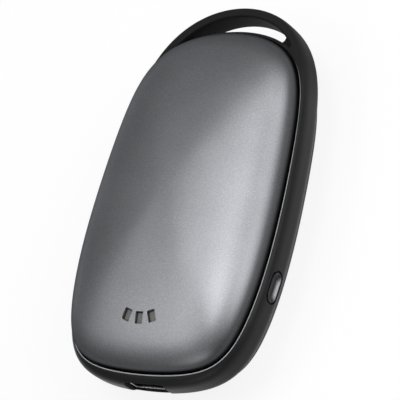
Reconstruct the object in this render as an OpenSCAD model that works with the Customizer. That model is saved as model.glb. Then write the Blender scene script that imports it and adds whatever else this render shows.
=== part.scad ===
// Rechargeable hand warmer: two domed metal covers on a plastic band with a carrying loop.
// It lies on the flat middle of the rear cover, front cover up. +Y points to the loop,
// -Y to the end with the power outlet, +X to the side with the button.
// The origin is on the floor under the middle of the whole part.

/* [Covers] */
// Width of each cover at its widest
cover_width = 63.4; // [62:0.1:66]
// Length of each cover
cover_length = 104.8; // [103:0.1:110]
// Wall of each cover
cover_wall = 1.2; // [0.8:0.1:1.5]
// Height of the dome's edge over the middle plane
edge_height = 5.4; // [5.2:0.1:6.5]
// Rise of the dome from its edge to its crown
dome_rise = 11.4; // [11:0.1:14]
// Depth of the skirt that stands in the band's groove
skirt_depth = 2; // [1.6:0.1:2.1]

/* [Band] */
// Distance between the band's front and rear edges
band_depth = 9; // [8.8:0.1:10]
// Distance from the cover's side to the band's edge
rim_gap = 0.8; // [0.7:0.05:1.2]
// Distance by which the band's wall swells past its edges
side_swell = 1.4; // [1:0.1:1.8]
// The same distance at the end with the outlet
end_swell = 3; // [2.8:0.1:3.4]
// Open width of the groove beside the cover
groove_gap = 0.25; // [0.15:0.05:0.35]
// Width of the band's edge before its chamfer
edge_land = 0.15; // [0.1:0.05:0.2]
// Height of the chamfer on the band's edges
edge_chamfer = 0.3; // [0.2:0.05:0.4]
// Height of the slope on the inner side of the edge
lip_slope = 0.6; // [0.4:0.1:0.9]
// Wall of the rib inside the cover's skirt
rib_wall = 1.2; // [1:0.1:1.5]
// Distance from the band's edge plane down to the rib's top
rib_drop = 0.6; // [0.5:0.1:0.8]
// Clearance between the skirt and the rib
rib_clearance = 0.15; // [0.1:0.05:0.2]

/* [Carrying loop] */
// Distance by which the loop rises past the band's outline
loop_rise = 8.5; // [8.2:0.1:12]
// Depth of the loop's strap at its top
loop_depth = 7.2; // [6:0.1:8.6]
// Width of the strap from its edge line to its inner wall
strap_width = 2.6; // [2.2:0.1:2.8]
// Width of the ring that stays round the covers under the loop
ring_width = 1.5; // [1.2:0.1:1.6]
// Thickness of the webs that join the loop to the ring
web_thickness = 2; // [1.5:0.1:4]

/* [Windows] */
// Width of each light window
window_width = 2.5; // [2:0.1:3]
// Length of each light window
window_length = 3.3; // [2.6:0.1:3.8]
// Radius of the fan on which the windows stand
window_fan = 13.3; // [12.5:0.1:16]
// Distance from the cover's lower end to the middle window
window_rise = 13.3; // [12.8:0.1:14]
// Clearance between a window and its lens
lens_clearance = 0.1; // [0.05:0.05:0.2]
// Depth of the lens below the outer face of the cover
lens_depth = 1; // [0.3:0.05:1.1]

/* [Power outlet] */
// Width of the outlet's metal shell
outlet_width = 13.1; // [13.1:0.1:13.3]
// Height of the outlet's metal shell
outlet_height = 5.7; // [5.5:0.1:5.8]
// Length of the outlet's metal shell
outlet_length = 13.2; // [12.6:0.1:13.4]
// Sheet thickness of the outlet's shell
outlet_sheet = 0.3; // [0.2:0.05:0.35]
// Depth of the shell's front edge below the middle of the band's end wall
outlet_recess = 1.6; // [1.2:0.1:2]
// Clearance between a socket's shell and the band
socket_clearance = 0.2; // [0.15:0.05:0.3]

/* [Charging inlet] */
// Width of the inlet's metal shell
inlet_width = 8.94; // [8.8:0.02:9.1]
// Height of the inlet's metal shell
inlet_height = 3.26; // [3.2:0.02:3.3]
// Length of the inlet's metal shell
inlet_length = 7.4; // [7:0.1:8]
// Sheet thickness of the inlet's shell
inlet_sheet = 0.25; // [0.2:0.05:0.3]
// Depth of the shell's front edge below the band's wall
inlet_recess = 0.6; // [0.4:0.1:0.8]

/* [Button] */
// Length of the button's key
key_length = 8.8; // [8:0.1:9.5]
// Width of the button's key
key_width = 4.2; // [3.8:0.1:4.4]
// Width of the flat rim round the key's finger dish
key_lip = 0.25; // [0.2:0.05:0.4]
// Depth of the finger dish in the key
key_dish = 1.2; // [0.6:0.1:1.4]
// Place of the button on the oval, as an angle from the widest line
key_angle = -13.2; // [-15:0.1:-13]
// Travel of the button
key_travel = 0.35; // [0.2:0.05:0.5]
// Clearance between the key and the band
key_clearance = 0.15; // [0.1:0.05:0.2]
// Width of the step round the key
key_step = 0.35; // [0.25:0.05:0.4]
// Depth of the step round the key
key_sink = 0.7; // [0.4:0.1:1]

/* [Circuit board] */
// Thickness of the circuit board
board_thickness = 1.6; // [1.2:0.1:1.8]
// Distance from the middle plane down to the board's top face
board_drop = 0.8; // [0.7:0.1:0.9]
// Distance from the cover's lower end to the board's far edge
board_reach = 33; // [32.5:0.1:33.5]
// Distance from the cover's outline in to the board's edge
board_inset = 3.2; // [3:0.1:3.4]

/* [Battery] */
// Width of the cell
cell_width = 42; // [38:0.5:43]
// Length of the cell's body
cell_length = 49; // [44:0.5:50]
// Thickness of the cell
cell_thickness = 15.5; // [13:0.5:16]
// Distance from the board's far edge to the cell's end board
cell_gap = 3; // [3:0.1:3.4]
// Length of the end board
end_board_length = 3; // [2.5:0.1:3.2]

/* [Tray] */
// Thickness of the tray's floor
tray_floor = 1.4; // [1:0.1:1.6]
// Wall of the tray round the cell
tray_wall = 1.2; // [0.8:0.1:1.3]
// Clearance between the tray and the cell
cell_clearance = 0.3; // [0.2:0.05:0.4]
// Height of the tray's walls over the middle plane
tray_height = 4; // [3:0.1:5]

/* [Screws] */
// Diameter of every screw's shank
screw_diameter = 1.8; // [1.6:0.1:2]
// Diameter of every screw's head
head_diameter = 3.4; // [3.2:0.1:3.6]
// Height of every screw's head
head_height = 1.1; // [0.9:0.1:1.3]

/* [Heating films] */
// Thickness of each heating film
film_thickness = 0.4; // [0.3:0.1:0.6]
// Width of the foam pads behind the films
foam_width = 30; // [24:0.5:34]
// Length of the foam pads behind the films
foam_length = 34; // [26:0.5:36]

/* [Hidden] */
$fn = 48;
// Overrun of every cut past the face it goes through
over = 0.5;
// Shape of the oval outline
side_share = 0.24;
corner_share = 0.3;
shoulder_share = 0.11;
pinch_share = 0.145;
crown_share = 0.197;
// Flat caps of the domes, as shares of the outline
front_cap_share = 0.1;
rest_cap_share = 0.26;
// Counts of the meshes
oval_count = 96;
dome_count = 12;
film_count = 5;
wall_count = 8;
oval_step = 360 / oval_count;
half_width = cover_width / 2;
half_length = cover_length / 2;
half_depth = band_depth / 2;
skirt_low = edge_height - skirt_depth;
rib_outer = cover_wall + rib_clearance;
rib_inner = rib_outer + rib_wall;
rib_top = half_depth - rib_drop;
lip_low = half_depth - lip_slope;
swell_top_share = 0.25;
loop_swell = side_swell * swell_top_share;
band_half = half_length + rim_gap;
// The part's frame: floor under the rear cover's flat cap, middle of the whole length
body_shift = (end_swell - loop_rise - loop_swell) / 2;
middle_height = edge_height + dome_rise * sin(acos(rest_cap_share));

// The oval outline

// Point of the cover's outline at angle t round its middle
function oval(t) = let (s = sin(t), c = cos(t)) [
    half_width * c * (1 + side_share * s * s + shoulder_share * s ^ 3 + corner_share * s ^ 4),
    half_length * ((1 + pinch_share) * s - pinch_share * s ^ 3 - crown_share * (1 - s * s))];

// Radius of an arc from half its chord and its height
function arc_radius(half_chord, height) = (half_chord ^ 2 + height ^ 2) / (2 * height);

// Outward direction between two points of an outline
function outward(a, b) = let (d = b - a) [d.y, -d.x] / norm(d);

// Point at a distance outside the cover's outline
function cover_point(t, out) = oval(t) + out * outward(oval(t - 1), oval(t + 1));

// Share of the loop at angle t: nothing at the widest line, all at the top
function loop_share(t) = max(0, sin(t)) ^ 4;

// Edge line of the band, drawn out at the top into the loop
function edge_line(t) = cover_point(t, rim_gap) + [0, loop_rise * loop_share(t)];

// Point at a distance outside the band's edge line
function edge_point(t, out) = edge_line(t) + out * outward(edge_line(t - 1), edge_line(t + 1));

// A flat point lifted to a height
function lift(p, z) = [p.x, p.y, z];

// Outline at a distance from the cover's side
function oval_polygon(out) = [for (i = [0 : oval_count - 1]) cover_point(i * oval_step, out)];

// Puts a body-centred piece into the part's own frame
module placed() {
    translate([0, body_shift, middle_height]) children();
}

// Meshes from rings of points

// Two triangles between two neighbours of one ring and the next ring
function patch(a, b, c, d) = [[a, b, c], [a, c, d]];

// Faces between all neighbouring rings
function ring_faces(rings, count, last) = [for (i = [0 : last - 1]) for (j = [0 : count - 1])
    let (i2 = (i + 1) % rings, j2 = (j + 1) % count)
    each patch(i * count + j, i * count + j2, i2 * count + j2, i2 * count + j)];

// Closed body whose sections follow a closed path
module swept(rings) {
    faces = ring_faces(len(rings), len(rings[0]), len(rings));
    polyhedron([for (ring = rings) each ring], [for (face = faces) [face.z, face.y, face.x]]);
}

// Body of stacked rings with a flat cap at each end
module stacked(rings) {
    count = len(rings[0]);
    last = len(rings) - 1;
    caps = [[for (j = [count - 1 : -1 : 0]) j], [for (j = [0 : count - 1]) last * count + j]];
    polyhedron([for (ring = rings) each ring], concat(ring_faces(len(rings), count, last), caps));
}

// Exact prisms

// Upright plate with rounded corners, centred on the Z axis
module rounded_plate(width, length, height, radius) {
    linear_extrude(height) {
        square([width - 2 * radius, length], center = true);
        square([width, length - 2 * radius], center = true);
        for (x = [-1, 1], y = [-1, 1])
            translate([x * (width / 2 - radius), y * (length / 2 - radius)]) circle(radius);
    }
}

// Block by its size, centred in X and Y, standing on z = 0
module block(width, length, height) {
    translate([-width / 2, -length / 2, 0]) cube([width, length, height]);
}

// Turns an upright piece so that its top points along +X
module toward_side() {
    rotate([0, 90, 0]) children();
}

// Turns an upright piece so that its top points along -Y
module toward_end() {
    rotate([90, 0, 0]) children();
}

// Covers

// Ring of the dome's surface at a depth below the outer face
function dome_ring(depth, angle) = [for (i = [0 : oval_count - 1])
    lift(cover_point(i * oval_step, -depth) * cos(angle),
        edge_height + (dome_rise - depth) * sin(angle))];

// Ring of the skirt's lower edge at a depth below the outer face
function skirt_ring(depth) = [for (i = [0 : oval_count - 1])
    lift(cover_point(i * oval_step, -depth), skirt_low)];

// Rings of the dome from its cap to its edge
function dome_rings(depth, cap_share, count) = let (cap = acos(cap_share))
    [for (k = [0 : count]) dome_ring(depth, cap * (1 - k / dome_count))];

function reversed(list) = [for (i = [len(list) - 1 : -1 : 0]) list[i]];

// Domed shell with its skirt
module cover_shell(cap_share) {
    outer = dome_rings(0, cap_share, dome_count);
    inner = dome_rings(cover_wall, cap_share, dome_count);
    stacked(concat(outer, [skirt_ring(0)], [skirt_ring(cover_wall)], reversed(inner)));
}

// Everything under the dome's surface at a depth, down to the other cover's edge
module dome_core(depth, cap_share) {
    low_ring = [for (p = oval_polygon(-depth)) lift(p, -edge_height)];
    stacked(concat(dome_rings(depth, cap_share, dome_count), [low_ring]));
}

// Places of the three windows
window_turn = 18.5;
window_y = window_rise - half_length;

module each_window() {
    translate([0, window_y + window_fan, 0])
        for (turn = [-window_turn, 0, window_turn])
            rotate([0, 0, turn]) translate([0, -window_fan, 0]) children();
}

module front_cover() {
    color([0.33, 0.34, 0.36]) placed() difference() {
        cover_shell(front_cap_share);
        each_window() block(window_width, window_length, edge_height + dome_rise);
    }
}

module rear_cover() {
    color([0.33, 0.34, 0.36]) placed() mirror([0, 0, 1]) cover_shell(rest_cap_share);
}

// Band with the carrying loop

// Height of the band's wall points, as a share of its half depth, closer toward the edges
wall_shares = [for (k = [0 : wall_count]) cos(180 * k / wall_count)];
chamfer_low = half_depth - edge_chamfer;

// Depth of the loop at angle t, as a share of the band's depth
function depth_share(t) = 1 - (1 - loop_depth / band_depth) * loop_share(t);

// Share of the outlet's end at angle t: nothing at the widest line, all at the end
function end_share(t) = max(0, -sin(t)) ^ 4;

// Swell of the wall at angle t, halfway up
function full_swell(t) = side_swell * (1 - (1 - swell_top_share) * max(0, sin(t)) ^ 2)
    + (end_swell - side_swell) * end_share(t);

// Swell of the wall at angle t and height z: flat in the middle and rounder toward the edges
function swell(t, z) = full_swell(t) * (1 - (z / half_depth) ^ 4);

// Section of the band at angle t, counted from the inner side over the front to the rear
function band_section(t) = concat(
    [lift(cover_point(t, -rib_inner), -rib_top)],
    [lift(cover_point(t, -rib_inner), rib_top)],
    [lift(cover_point(t, -rib_outer), rib_top)],
    [lift(cover_point(t, -rib_outer), skirt_low)],
    [lift(cover_point(t, groove_gap), skirt_low)],
    [lift(cover_point(t, groove_gap), lip_low)],
    [lift(cover_point(t, rim_gap - 2 * edge_land), half_depth)],
    [lift(edge_point(t, -edge_land), half_depth * depth_share(t))],
    [for (share = wall_shares) lift(edge_point(t, swell(t, chamfer_low * share)),
        chamfer_low * share * depth_share(t))],
    [lift(edge_point(t, -edge_land), -half_depth * depth_share(t))],
    [lift(cover_point(t, rim_gap - 2 * edge_land), -half_depth)],
    [lift(cover_point(t, groove_gap), -lip_low)],
    [lift(cover_point(t, groove_gap), -skirt_low)],
    [lift(cover_point(t, -rib_outer), -skirt_low)],
    [lift(cover_point(t, -rib_outer), -rib_top)]);

module band_body() {
    swept([for (i = [0 : oval_count - 1]) band_section(i * oval_step)]);
}

// The loop's gap ends at one angle on the strap and at another on the ring, square to both
gap_strap_angle = 70.9;
gap_ring_angle = 75;
hollow_strap_angle = 61;
hollow_ring_angle = 66;
gap_count = 14;

// Angles from one end of the gap to the other
function gap_angles(angle) = [for (k = [0 : gap_count]) angle + (180 - 2 * angle) * k / gap_count];

// Crescent between the strap and the ring
function crescent(strap_angle, ring_angle) = concat(
    [for (t = gap_angles(strap_angle)) edge_point(t, -strap_width)],
    reversed([for (t = gap_angles(ring_angle)) cover_point(t, ring_width)]));

// Upright prism through the loop's gap with rounded ends
module loop_gap() {
    strap_end = edge_point(gap_strap_angle, -strap_width);
    ring_end = cover_point(gap_ring_angle, ring_width);
    middle = (strap_end + ring_end) / 2;
    translate([0, 0, -half_depth - over]) linear_extrude(band_depth + 2 * over) {
        polygon(crescent(gap_strap_angle, gap_ring_angle));
        for (side = [-1, 1])
            translate([side * middle.x, middle.y]) circle(norm(strap_end - ring_end) / 2);
    }
}

// Hollows in front of and behind the webs at the loop's shoulders
module web_hollows() {
    for (side = [0, 1])
        mirror([0, 0, side]) translate([0, 0, web_thickness / 2])
            linear_extrude(half_depth) polygon(crescent(hollow_strap_angle, hollow_ring_angle));
}

// Lugs inside the band that take the tray's screws
lug_radius = 2.2;
lug_bite = 0.5;
lug_height = 5.6;
low_lug_angle = -52;
high_lug_angle = 72;
lug_angles = [low_lug_angle, high_lug_angle, 180 - high_lug_angle, 180 - low_lug_angle];
lug_inset = rib_inner + lug_radius - lug_bite;
// Clearance of a screw's shank in the piece that it passes
shank_clearance = 0.1;
thread_clearance = 0.02;

module each_lug() {
    for (t = lug_angles) translate(lift(cover_point(t, -lug_inset), -rib_top)) children();
}

// Local frame of the button: x = 0 on the cover's outline, +X straight out of the side wall
module at_key() {
    direction = outward(oval(key_angle - 1), oval(key_angle + 1));
    translate(lift(oval(key_angle), 0)) rotate([0, 0, atan2(direction.y, direction.x)]) children();
}

// The same place on the other side, for the charging inlet
module at_inlet() {
    mirror([1, 0, 0]) at_key() children();
}

// Outer and inner face of the band's wall in that frame
side_x = rim_gap + side_swell;
inner_x = -rib_inner;

// Pill-shaped prism along X, starting at x = 0
module pill(length, width, height) {
    toward_side() rounded_plate(width, length, height, width / 2 - flat_end);
}

// Flat left at each end of a pill, so that its sides and ends stay separate faces
flat_end = 0.02;
flange_step = 0.9;
flange_thickness = 0.8;

// Hole, outer step and inner seat of the button's key
module key_opening() {
    hole_length = key_length + 2 * key_clearance;
    hole_width = key_width + 2 * key_clearance;
    at_key() {
        translate([inner_x - over, 0, 0]) pill(hole_length, hole_width, side_x - inner_x + 2 * over);
        translate([side_x - key_sink, 0, 0])
            pill(hole_length + 2 * key_step, hole_width + 2 * key_step, key_sink + over);
        translate([inner_x - flange_thickness, 0, 0])
            pill(hole_length + 2 * flange_step, hole_width + 2 * flange_step, flange_thickness);
    }
}

// Height of the charging inlet's middle: it stands on the board
inlet_z = inlet_height / 2 - board_drop;

module inlet_opening() {
    at_inlet() translate([inner_x - over, 0, inlet_z])
        pill(inlet_width + 2 * socket_clearance, inlet_height + 2 * socket_clearance,
            side_x - inner_x + 2 * over);
}

outlet_corner = 0.5;
outlet_front = -band_half - end_swell + outlet_recess;

module outlet_opening() {
    translate([0, -half_length + rib_inner + over, 0]) toward_end()
        rounded_plate(outlet_width + 2 * socket_clearance, outlet_height + 2 * socket_clearance,
            rib_inner + rim_gap + end_swell + 2 * over, outlet_corner);
}

module mid_frame() {
    color([0.13, 0.13, 0.14]) placed() difference() {
        union() {
            band_body();
            each_lug() cylinder(lug_height, lug_radius, lug_radius);
        }
        loop_gap();
        web_hollows();
        key_opening();
        inlet_opening();
        outlet_opening();
        each_lug() translate([0, 0, -over])
            cylinder(lug_height, screw_diameter / 2 + thread_clearance,
                screw_diameter / 2 + thread_clearance);
    }
}

// Battery

board_back = board_reach - half_length;
cell_near = board_back + cell_gap + end_board_length;
cell_middle = cell_near + cell_length / 2;
cell_corner = 3;

module battery_cell() {
    color([0.62, 0.64, 0.68]) placed()
        translate([0, cell_near + cell_length, 0]) toward_end()
            rounded_plate(cell_width, cell_thickness, cell_length, cell_corner);
}

end_board_width = 34;
end_board_thickness = 1;

module end_board() {
    color([0.1, 0.35, 0.2]) placed() translate([0, cell_near - end_board_length / 2, 0])
        block(end_board_width, end_board_length, end_board_thickness);
}

tab_width = 4;
tab_thickness = 0.2;
tab_place = 12;

module cell_tabs() {
    color([0.75, 0.75, 0.74]) placed()
        for (x = [-tab_place, tab_place])
            translate([x, cell_near - end_board_length / 2, -tab_thickness])
                block(tab_width, end_board_length, tab_thickness);
}

lead_radius = 0.6;
lead_spacing = 1.4;
lead_rise = lead_radius + end_board_thickness;
socket_width = 6;
socket_length = 4;
socket_height = 3.2;
socket_back_gap = 0.4;
socket_wall = 0.6;
socket_y = board_back - socket_back_gap - socket_length / 2;
lead_bite = 1.5;
// Share of the end board that the leads start on
lead_start_share = 0.7;

// Two leads from the end board into the battery's socket on the board
module battery_leads() {
    near = cell_near - end_board_length * (1 - lead_start_share);
    far = board_back - socket_back_gap - lead_bite;
    color([0.7, 0.1, 0.1]) placed()
        for (side = [-1, 1])
            translate([side * lead_spacing, near, lead_rise]) toward_end()
                cylinder(near - far, lead_radius, lead_radius);
}

// Tray

tray_top = -rib_top;
tray_low = tray_top - tray_floor;
// Share of the rib's wall that the tray's floor stays short of the rib's outer face
floor_share = 0.2;
tray_inset = rib_outer + floor_share * rib_wall;
pocket_width = cell_width + 2 * cell_clearance;
pocket_near = board_back + cell_gap - cell_clearance;
pocket_far = cell_near + cell_length + cell_clearance;
pocket_length = pocket_far - pocket_near;
pocket_middle = (pocket_far + pocket_near) / 2;
strap_length = 5;
strap_height = 1.2;
lead_notch = 8;

// Posts on the tray that carry the board
post_radius = 2.2;
near_post_x = 20;
near_post_rise = 15.4;
far_post_x = 17.5;
far_post_inset = 3.1;
far_post_rise = board_reach - far_post_inset;
post_places = [for (side = [-1, 1])
    each [[side * near_post_x, near_post_rise - half_length],
        [side * far_post_x, far_post_rise - half_length]]];
board_low = -board_drop - board_thickness;
rear_lead_x = -9;
rear_lead_hole = 2;

module each_post() {
    for (place = post_places) translate(lift(place, 0)) children();
}

module tray() {
    color([0.2, 0.2, 0.21]) placed() difference() {
        union() {
            translate([0, 0, tray_low]) linear_extrude(tray_floor) polygon(oval_polygon(-tray_inset));
            translate([0, pocket_middle, -cell_thickness / 2 - strap_height])
                block(pocket_width + 2 * tray_wall, pocket_length + 2 * tray_wall,
                    cell_thickness / 2 + strap_height + tray_height);
            each_post() translate([0, 0, tray_low]) cylinder(board_low - tray_low, post_radius, post_radius);
        }
        translate([0, pocket_middle, -cell_thickness / 2])
            block(pocket_width, pocket_length, cell_thickness);
        translate([0, pocket_middle, -cell_thickness])
            block(pocket_width, pocket_length - 2 * strap_length, cell_thickness);
        translate([0, pocket_near - tray_wall / 2, tray_top + tray_floor])
            block(lead_notch, tray_wall + 2 * over, tray_height - tray_top);
        each_post() translate([0, 0, tray_low - over])
            cylinder(board_low - tray_low + 2 * over, screw_diameter / 2 + thread_clearance,
                screw_diameter / 2 + thread_clearance);
        each_lug() translate([0, 0, -tray_floor - over])
            cylinder(tray_floor + 2 * over, screw_diameter / 2 + shank_clearance,
                screw_diameter / 2 + shank_clearance);
        translate([rear_lead_x, socket_y, tray_low - over])
            cylinder(tray_floor + 2 * over, rear_lead_hole, rear_lead_hole);
    }
}

// Screw with its head down at z = 0 and its shank upward
module screw(length) {
    translate([0, 0, -head_height]) difference() {
        cylinder(head_height, head_diameter / 2, head_diameter / 2);
        translate([0, 0, -over]) block(slot_width, head_diameter, over + head_height / 2);
        translate([0, 0, -over]) block(head_diameter, slot_width, over + head_height / 2);
    }
    cylinder(length, screw_diameter / 2, screw_diameter / 2);
}

slot_width = 0.5;
tray_screw_length = 5.6;
board_screw_length = 4;

module tray_screws() {
    color([0.7, 0.7, 0.72]) placed()
        each_lug() translate([0, 0, -tray_floor]) screw(tray_screw_length);
}

module board_screws() {
    color([0.7, 0.7, 0.72]) placed()
        each_post() translate([0, 0, -board_drop]) mirror([0, 0, 1]) screw(board_screw_length);
}

// Circuit board

board_clearance = 0.3;
outlet_back = outlet_front + outlet_length;

module circuit_board() {
    color([0.1, 0.3, 0.16]) placed() translate([0, 0, board_low]) difference() {
        intersection() {
            linear_extrude(board_thickness) polygon(oval_polygon(-board_inset));
            translate([-half_width, -half_length, 0])
                cube([cover_width, board_reach, board_thickness]);
        }
        translate([0, -half_length, -over])
            block(outlet_width + 2 * socket_clearance,
                2 * (outlet_back + socket_clearance + half_length), board_thickness + 2 * over);
        for (t = lug_angles)
            translate(lift(cover_point(t, -lug_inset), -over))
                cylinder(board_thickness + 2 * over, lug_radius + board_clearance,
                    lug_radius + board_clearance);
        each_post() translate([0, 0, -over])
            cylinder(board_thickness + 2 * over, screw_diameter / 2 + shank_clearance,
                screw_diameter / 2 + shank_clearance);
        at_key() translate([post_tip_x - key_travel - board_clearance, -flange_length, -over])
            cube([rib_inner, 2 * flange_length, board_thickness + 2 * over]);
        translate([rear_lead_x, socket_y, -over])
            cylinder(board_thickness + 2 * over, lead_hole_radius, lead_hole_radius);
    }
}

// Sockets of the battery and of the heating films, open toward the cell
socket_places = [-rear_lead_x, 0];

module lead_sockets() {
    color([0.9, 0.9, 0.86]) placed()
        for (x = socket_places)
            translate([x, socket_y, -board_drop]) difference() {
                block(socket_width, socket_length, socket_height);
                translate([0, socket_wall, socket_wall])
                    block(socket_width - 2 * socket_wall, socket_length, socket_height);
            }
}

chip_size = 5;
chip_height = 0.9;
chip_x = 9;
// Distance from the board's far edge back to each part's middle
chip_inset = 9;
chip_rise = board_reach - chip_inset;
pin_width = 0.3;
pin_pitch = 0.8;
pin_reach = 0.6;
pin_height = 0.3;
pin_count = 5;

module control_chip() {
    color([0.08, 0.08, 0.09]) placed()
        translate([-chip_x, chip_rise - half_length, pin_height - board_drop])
            block(chip_size, chip_size, chip_height);
}

module chip_pins() {
    color([0.75, 0.75, 0.76]) placed()
        translate([-chip_x, chip_rise - half_length, -board_drop])
            for (i = [0 : pin_count - 1])
                translate([(i - (pin_count - 1) / 2) * pin_pitch, 0, 0])
                    for (side = [-1, 1])
                        translate([0, side * chip_size / 2, 0])
                            block(pin_width, 2 * pin_reach, pin_height);
}

inductor_size = 7;
inductor_height = 3.2;
inductor_flange = 0.8;
core_radius = 1.8;
winding_radius = 3;
inductor_x = 9;
inductor_inset = 8.5;
inductor_rise = board_reach - inductor_inset;

module power_inductor() {
    color([0.22, 0.22, 0.23]) placed()
        translate([inductor_x, inductor_rise - half_length, -board_drop]) {
            block(inductor_size, inductor_size, inductor_flange);
            translate([0, 0, inductor_height - inductor_flange])
                block(inductor_size, inductor_size, inductor_flange);
            cylinder(inductor_height, core_radius, core_radius);
        }
}

module inductor_winding() {
    color([0.72, 0.42, 0.2]) placed()
        translate([inductor_x, inductor_rise - half_length, inductor_flange - board_drop])
            difference() {
                cylinder(inductor_height - 2 * inductor_flange, winding_radius, winding_radius);
                translate([0, 0, -over])
                    cylinder(inductor_height + over, core_radius, core_radius);
            }
}

can_radius = 2.5;
can_height = 5.4;
can_base = 1;
can_x = 15.5;
can_inset = 10.5;
can_rise = board_reach - can_inset;

module capacitors() {
    color([0.7, 0.71, 0.73]) placed()
        for (side = [-1, 1])
            translate([side * can_x, can_rise - half_length, -board_drop]) {
                block(2 * can_radius, 2 * can_radius, can_base);
                cylinder(can_height, can_radius, can_radius);
            }
}

resistor_width = 1.6;
resistor_length = 0.8;
resistor_height = 0.5;
resistor_pitch = 2;
resistor_count = 5;
resistor_gap = 6.2;
resistor_row = window_rise + resistor_gap;

module board_resistors() {
    color([0.15, 0.15, 0.16]) placed()
        for (i = [0 : resistor_count - 1])
            translate([(i - (resistor_count - 1) / 2) * resistor_pitch, resistor_row - half_length,
                -board_drop]) block(resistor_width, resistor_length, resistor_height);
}

// Lights

diode_width = 1.6;
diode_length = 0.8;
diode_height = 0.6;

module indicator_diodes() {
    color([0.9, 0.88, 0.7]) placed()
        each_window() translate([0, 0, -board_drop]) block(diode_width, diode_length, diode_height);
}

// Light guide: a narrow foot over each diode, a lens in each window and a bar that joins them
guide_foot_gap = 0.3;
guide_lens_low = outlet_height / 2 + guide_foot_gap;
guide_bar_low = 8;
guide_bar_height = 1.5;
guide_bar_width = 12.5;

module light_guide() {
    foot_low = diode_height - board_drop + guide_foot_gap;
    lens_width = window_width - 2 * lens_clearance;
    lens_length = window_length - 2 * lens_clearance;
    color([0.78, 0.8, 0.8]) placed() {
        intersection() {
            each_window() translate([0, 0, guide_lens_low])
                block(lens_width, lens_length, dome_rise + edge_height);
            dome_core(lens_depth, front_cap_share);
        }
        each_window() translate([0, 0, foot_low])
            block(diode_width, diode_length, guide_lens_low - foot_low + over);
        translate([0, window_y, guide_bar_low])
            block(guide_bar_width, window_length, guide_bar_height);
    }
}

// Sockets

module outlet_shell() {
    color([0.75, 0.76, 0.78]) placed() translate([0, outlet_back, 0]) toward_end() difference() {
        rounded_plate(outlet_width, outlet_height, outlet_length, outlet_corner);
        translate([0, 0, outlet_sheet])
            rounded_plate(outlet_width - 2 * outlet_sheet, outlet_height - 2 * outlet_sheet,
                outlet_length, outlet_corner - outlet_sheet);
    }
}

tongue_width = 11.1;
tongue_thickness = 1.84;
tongue_top_gap = 0.7;
tongue_front_gap = 1.4;
tongue_base = 4;

module outlet_tongue() {
    inner_width = outlet_width - 2 * outlet_sheet;
    inner_height = outlet_height - 2 * outlet_sheet;
    reach = outlet_length - outlet_sheet - tongue_front_gap;
    color([0.12, 0.12, 0.13]) placed() translate([0, outlet_back - outlet_sheet, 0]) toward_end() {
        rounded_plate(inner_width, inner_height, tongue_base, outlet_corner - outlet_sheet);
        translate([0, inner_height / 2 - tongue_top_gap - tongue_thickness / 2, 0])
            block(tongue_width, tongue_thickness, reach);
    }
}

contact_width = 1;
contact_thickness = 0.2;
contact_pitch = 2.3;
contact_count = 4;
contact_front_gap = 0.8;

module outlet_contacts() {
    reach = outlet_length - outlet_sheet - tongue_front_gap - contact_front_gap - tongue_base;
    tongue_low = outlet_height / 2 - outlet_sheet - tongue_top_gap - tongue_thickness;
    color([0.85, 0.68, 0.3]) placed()
        translate([0, outlet_back - outlet_sheet - tongue_base, tongue_low - contact_thickness / 2])
            toward_end()
                for (i = [0 : contact_count - 1])
                    translate([(i - (contact_count - 1) / 2) * contact_pitch, 0, 0])
                        block(contact_width, contact_thickness, reach);
}

inlet_back = side_x - inlet_recess - inlet_length;

module inlet_shell() {
    color([0.75, 0.76, 0.78]) placed() at_inlet() translate([inlet_back, 0, inlet_z]) difference() {
        pill(inlet_width, inlet_height, inlet_length);
        translate([inlet_sheet, 0, 0])
            pill(inlet_width - 2 * inlet_sheet, inlet_height - 2 * inlet_sheet, inlet_length);
    }
}

inlet_tongue_width = 6.7;
inlet_tongue_thickness = 0.7;
inlet_tongue_gap = 1.2;
inlet_base = 2.2;

module inlet_tongue() {
    color([0.12, 0.12, 0.13]) placed()
        at_inlet() translate([inlet_back + inlet_sheet, 0, inlet_z]) {
            pill(inlet_width - 2 * inlet_sheet, inlet_height - 2 * inlet_sheet, inlet_base);
            translate([0, -inlet_tongue_width / 2, -inlet_tongue_thickness / 2])
                cube([inlet_length - inlet_sheet - inlet_tongue_gap, inlet_tongue_width,
                    inlet_tongue_thickness]);
        }
}

// Button and its switch

dish_radius = arc_radius(key_width / 2 - key_lip, key_dish);
dish_sweep = arc_radius(key_length / 2 - key_lip, key_dish);
key_face_gap = 0.1;
flange_gap = 0.05;
flange_length = key_length / 2 + key_clearance + flange_step;
key_post_radius = 1.1;
key_post_length = 0.65;
plunger_gap = 0.05;
plunger_radius = 0.75;
plunger_reach = 0.95;
plunger_depth = 1.2;
switch_length = 6.2;
switch_width = 3.4;
switch_height = 2.5;
flange_low = inner_x - flange_gap - flange_thickness;
post_tip_x = flange_low - key_post_length;
switch_front = post_tip_x - plunger_gap - plunger_reach;

module power_button() {
    face_x = side_x - key_face_gap;
    color([0.13, 0.13, 0.14]) placed() at_key() {
        difference() {
            translate([flange_low, 0, 0]) pill(key_length, key_width, face_x - flange_low);
            translate([face_x - key_dish + dish_sweep, 0, 0]) rotate_extrude()
                translate([dish_sweep - dish_radius, 0]) circle(dish_radius);
        }
        translate([flange_low, 0, 0])
            pill(key_length + 2 * flange_step, key_width + 2 * flange_step, flange_thickness);
        translate([post_tip_x, 0, 0]) toward_side()
            cylinder(key_post_length + flange_thickness, key_post_radius, key_post_radius);
    }
}

module switch_body() {
    color([0.1, 0.1, 0.11]) placed()
        at_key() translate([switch_front - switch_width, 0, -board_drop]) difference() {
            translate([0, -switch_length / 2, 0]) cube([switch_width, switch_length, switch_height]);
            translate([switch_width - plunger_depth - key_travel, 0, board_drop]) toward_side()
                cylinder(plunger_depth + key_travel + over, plunger_radius + plunger_gap,
                    plunger_radius + plunger_gap);
        }
}

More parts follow.
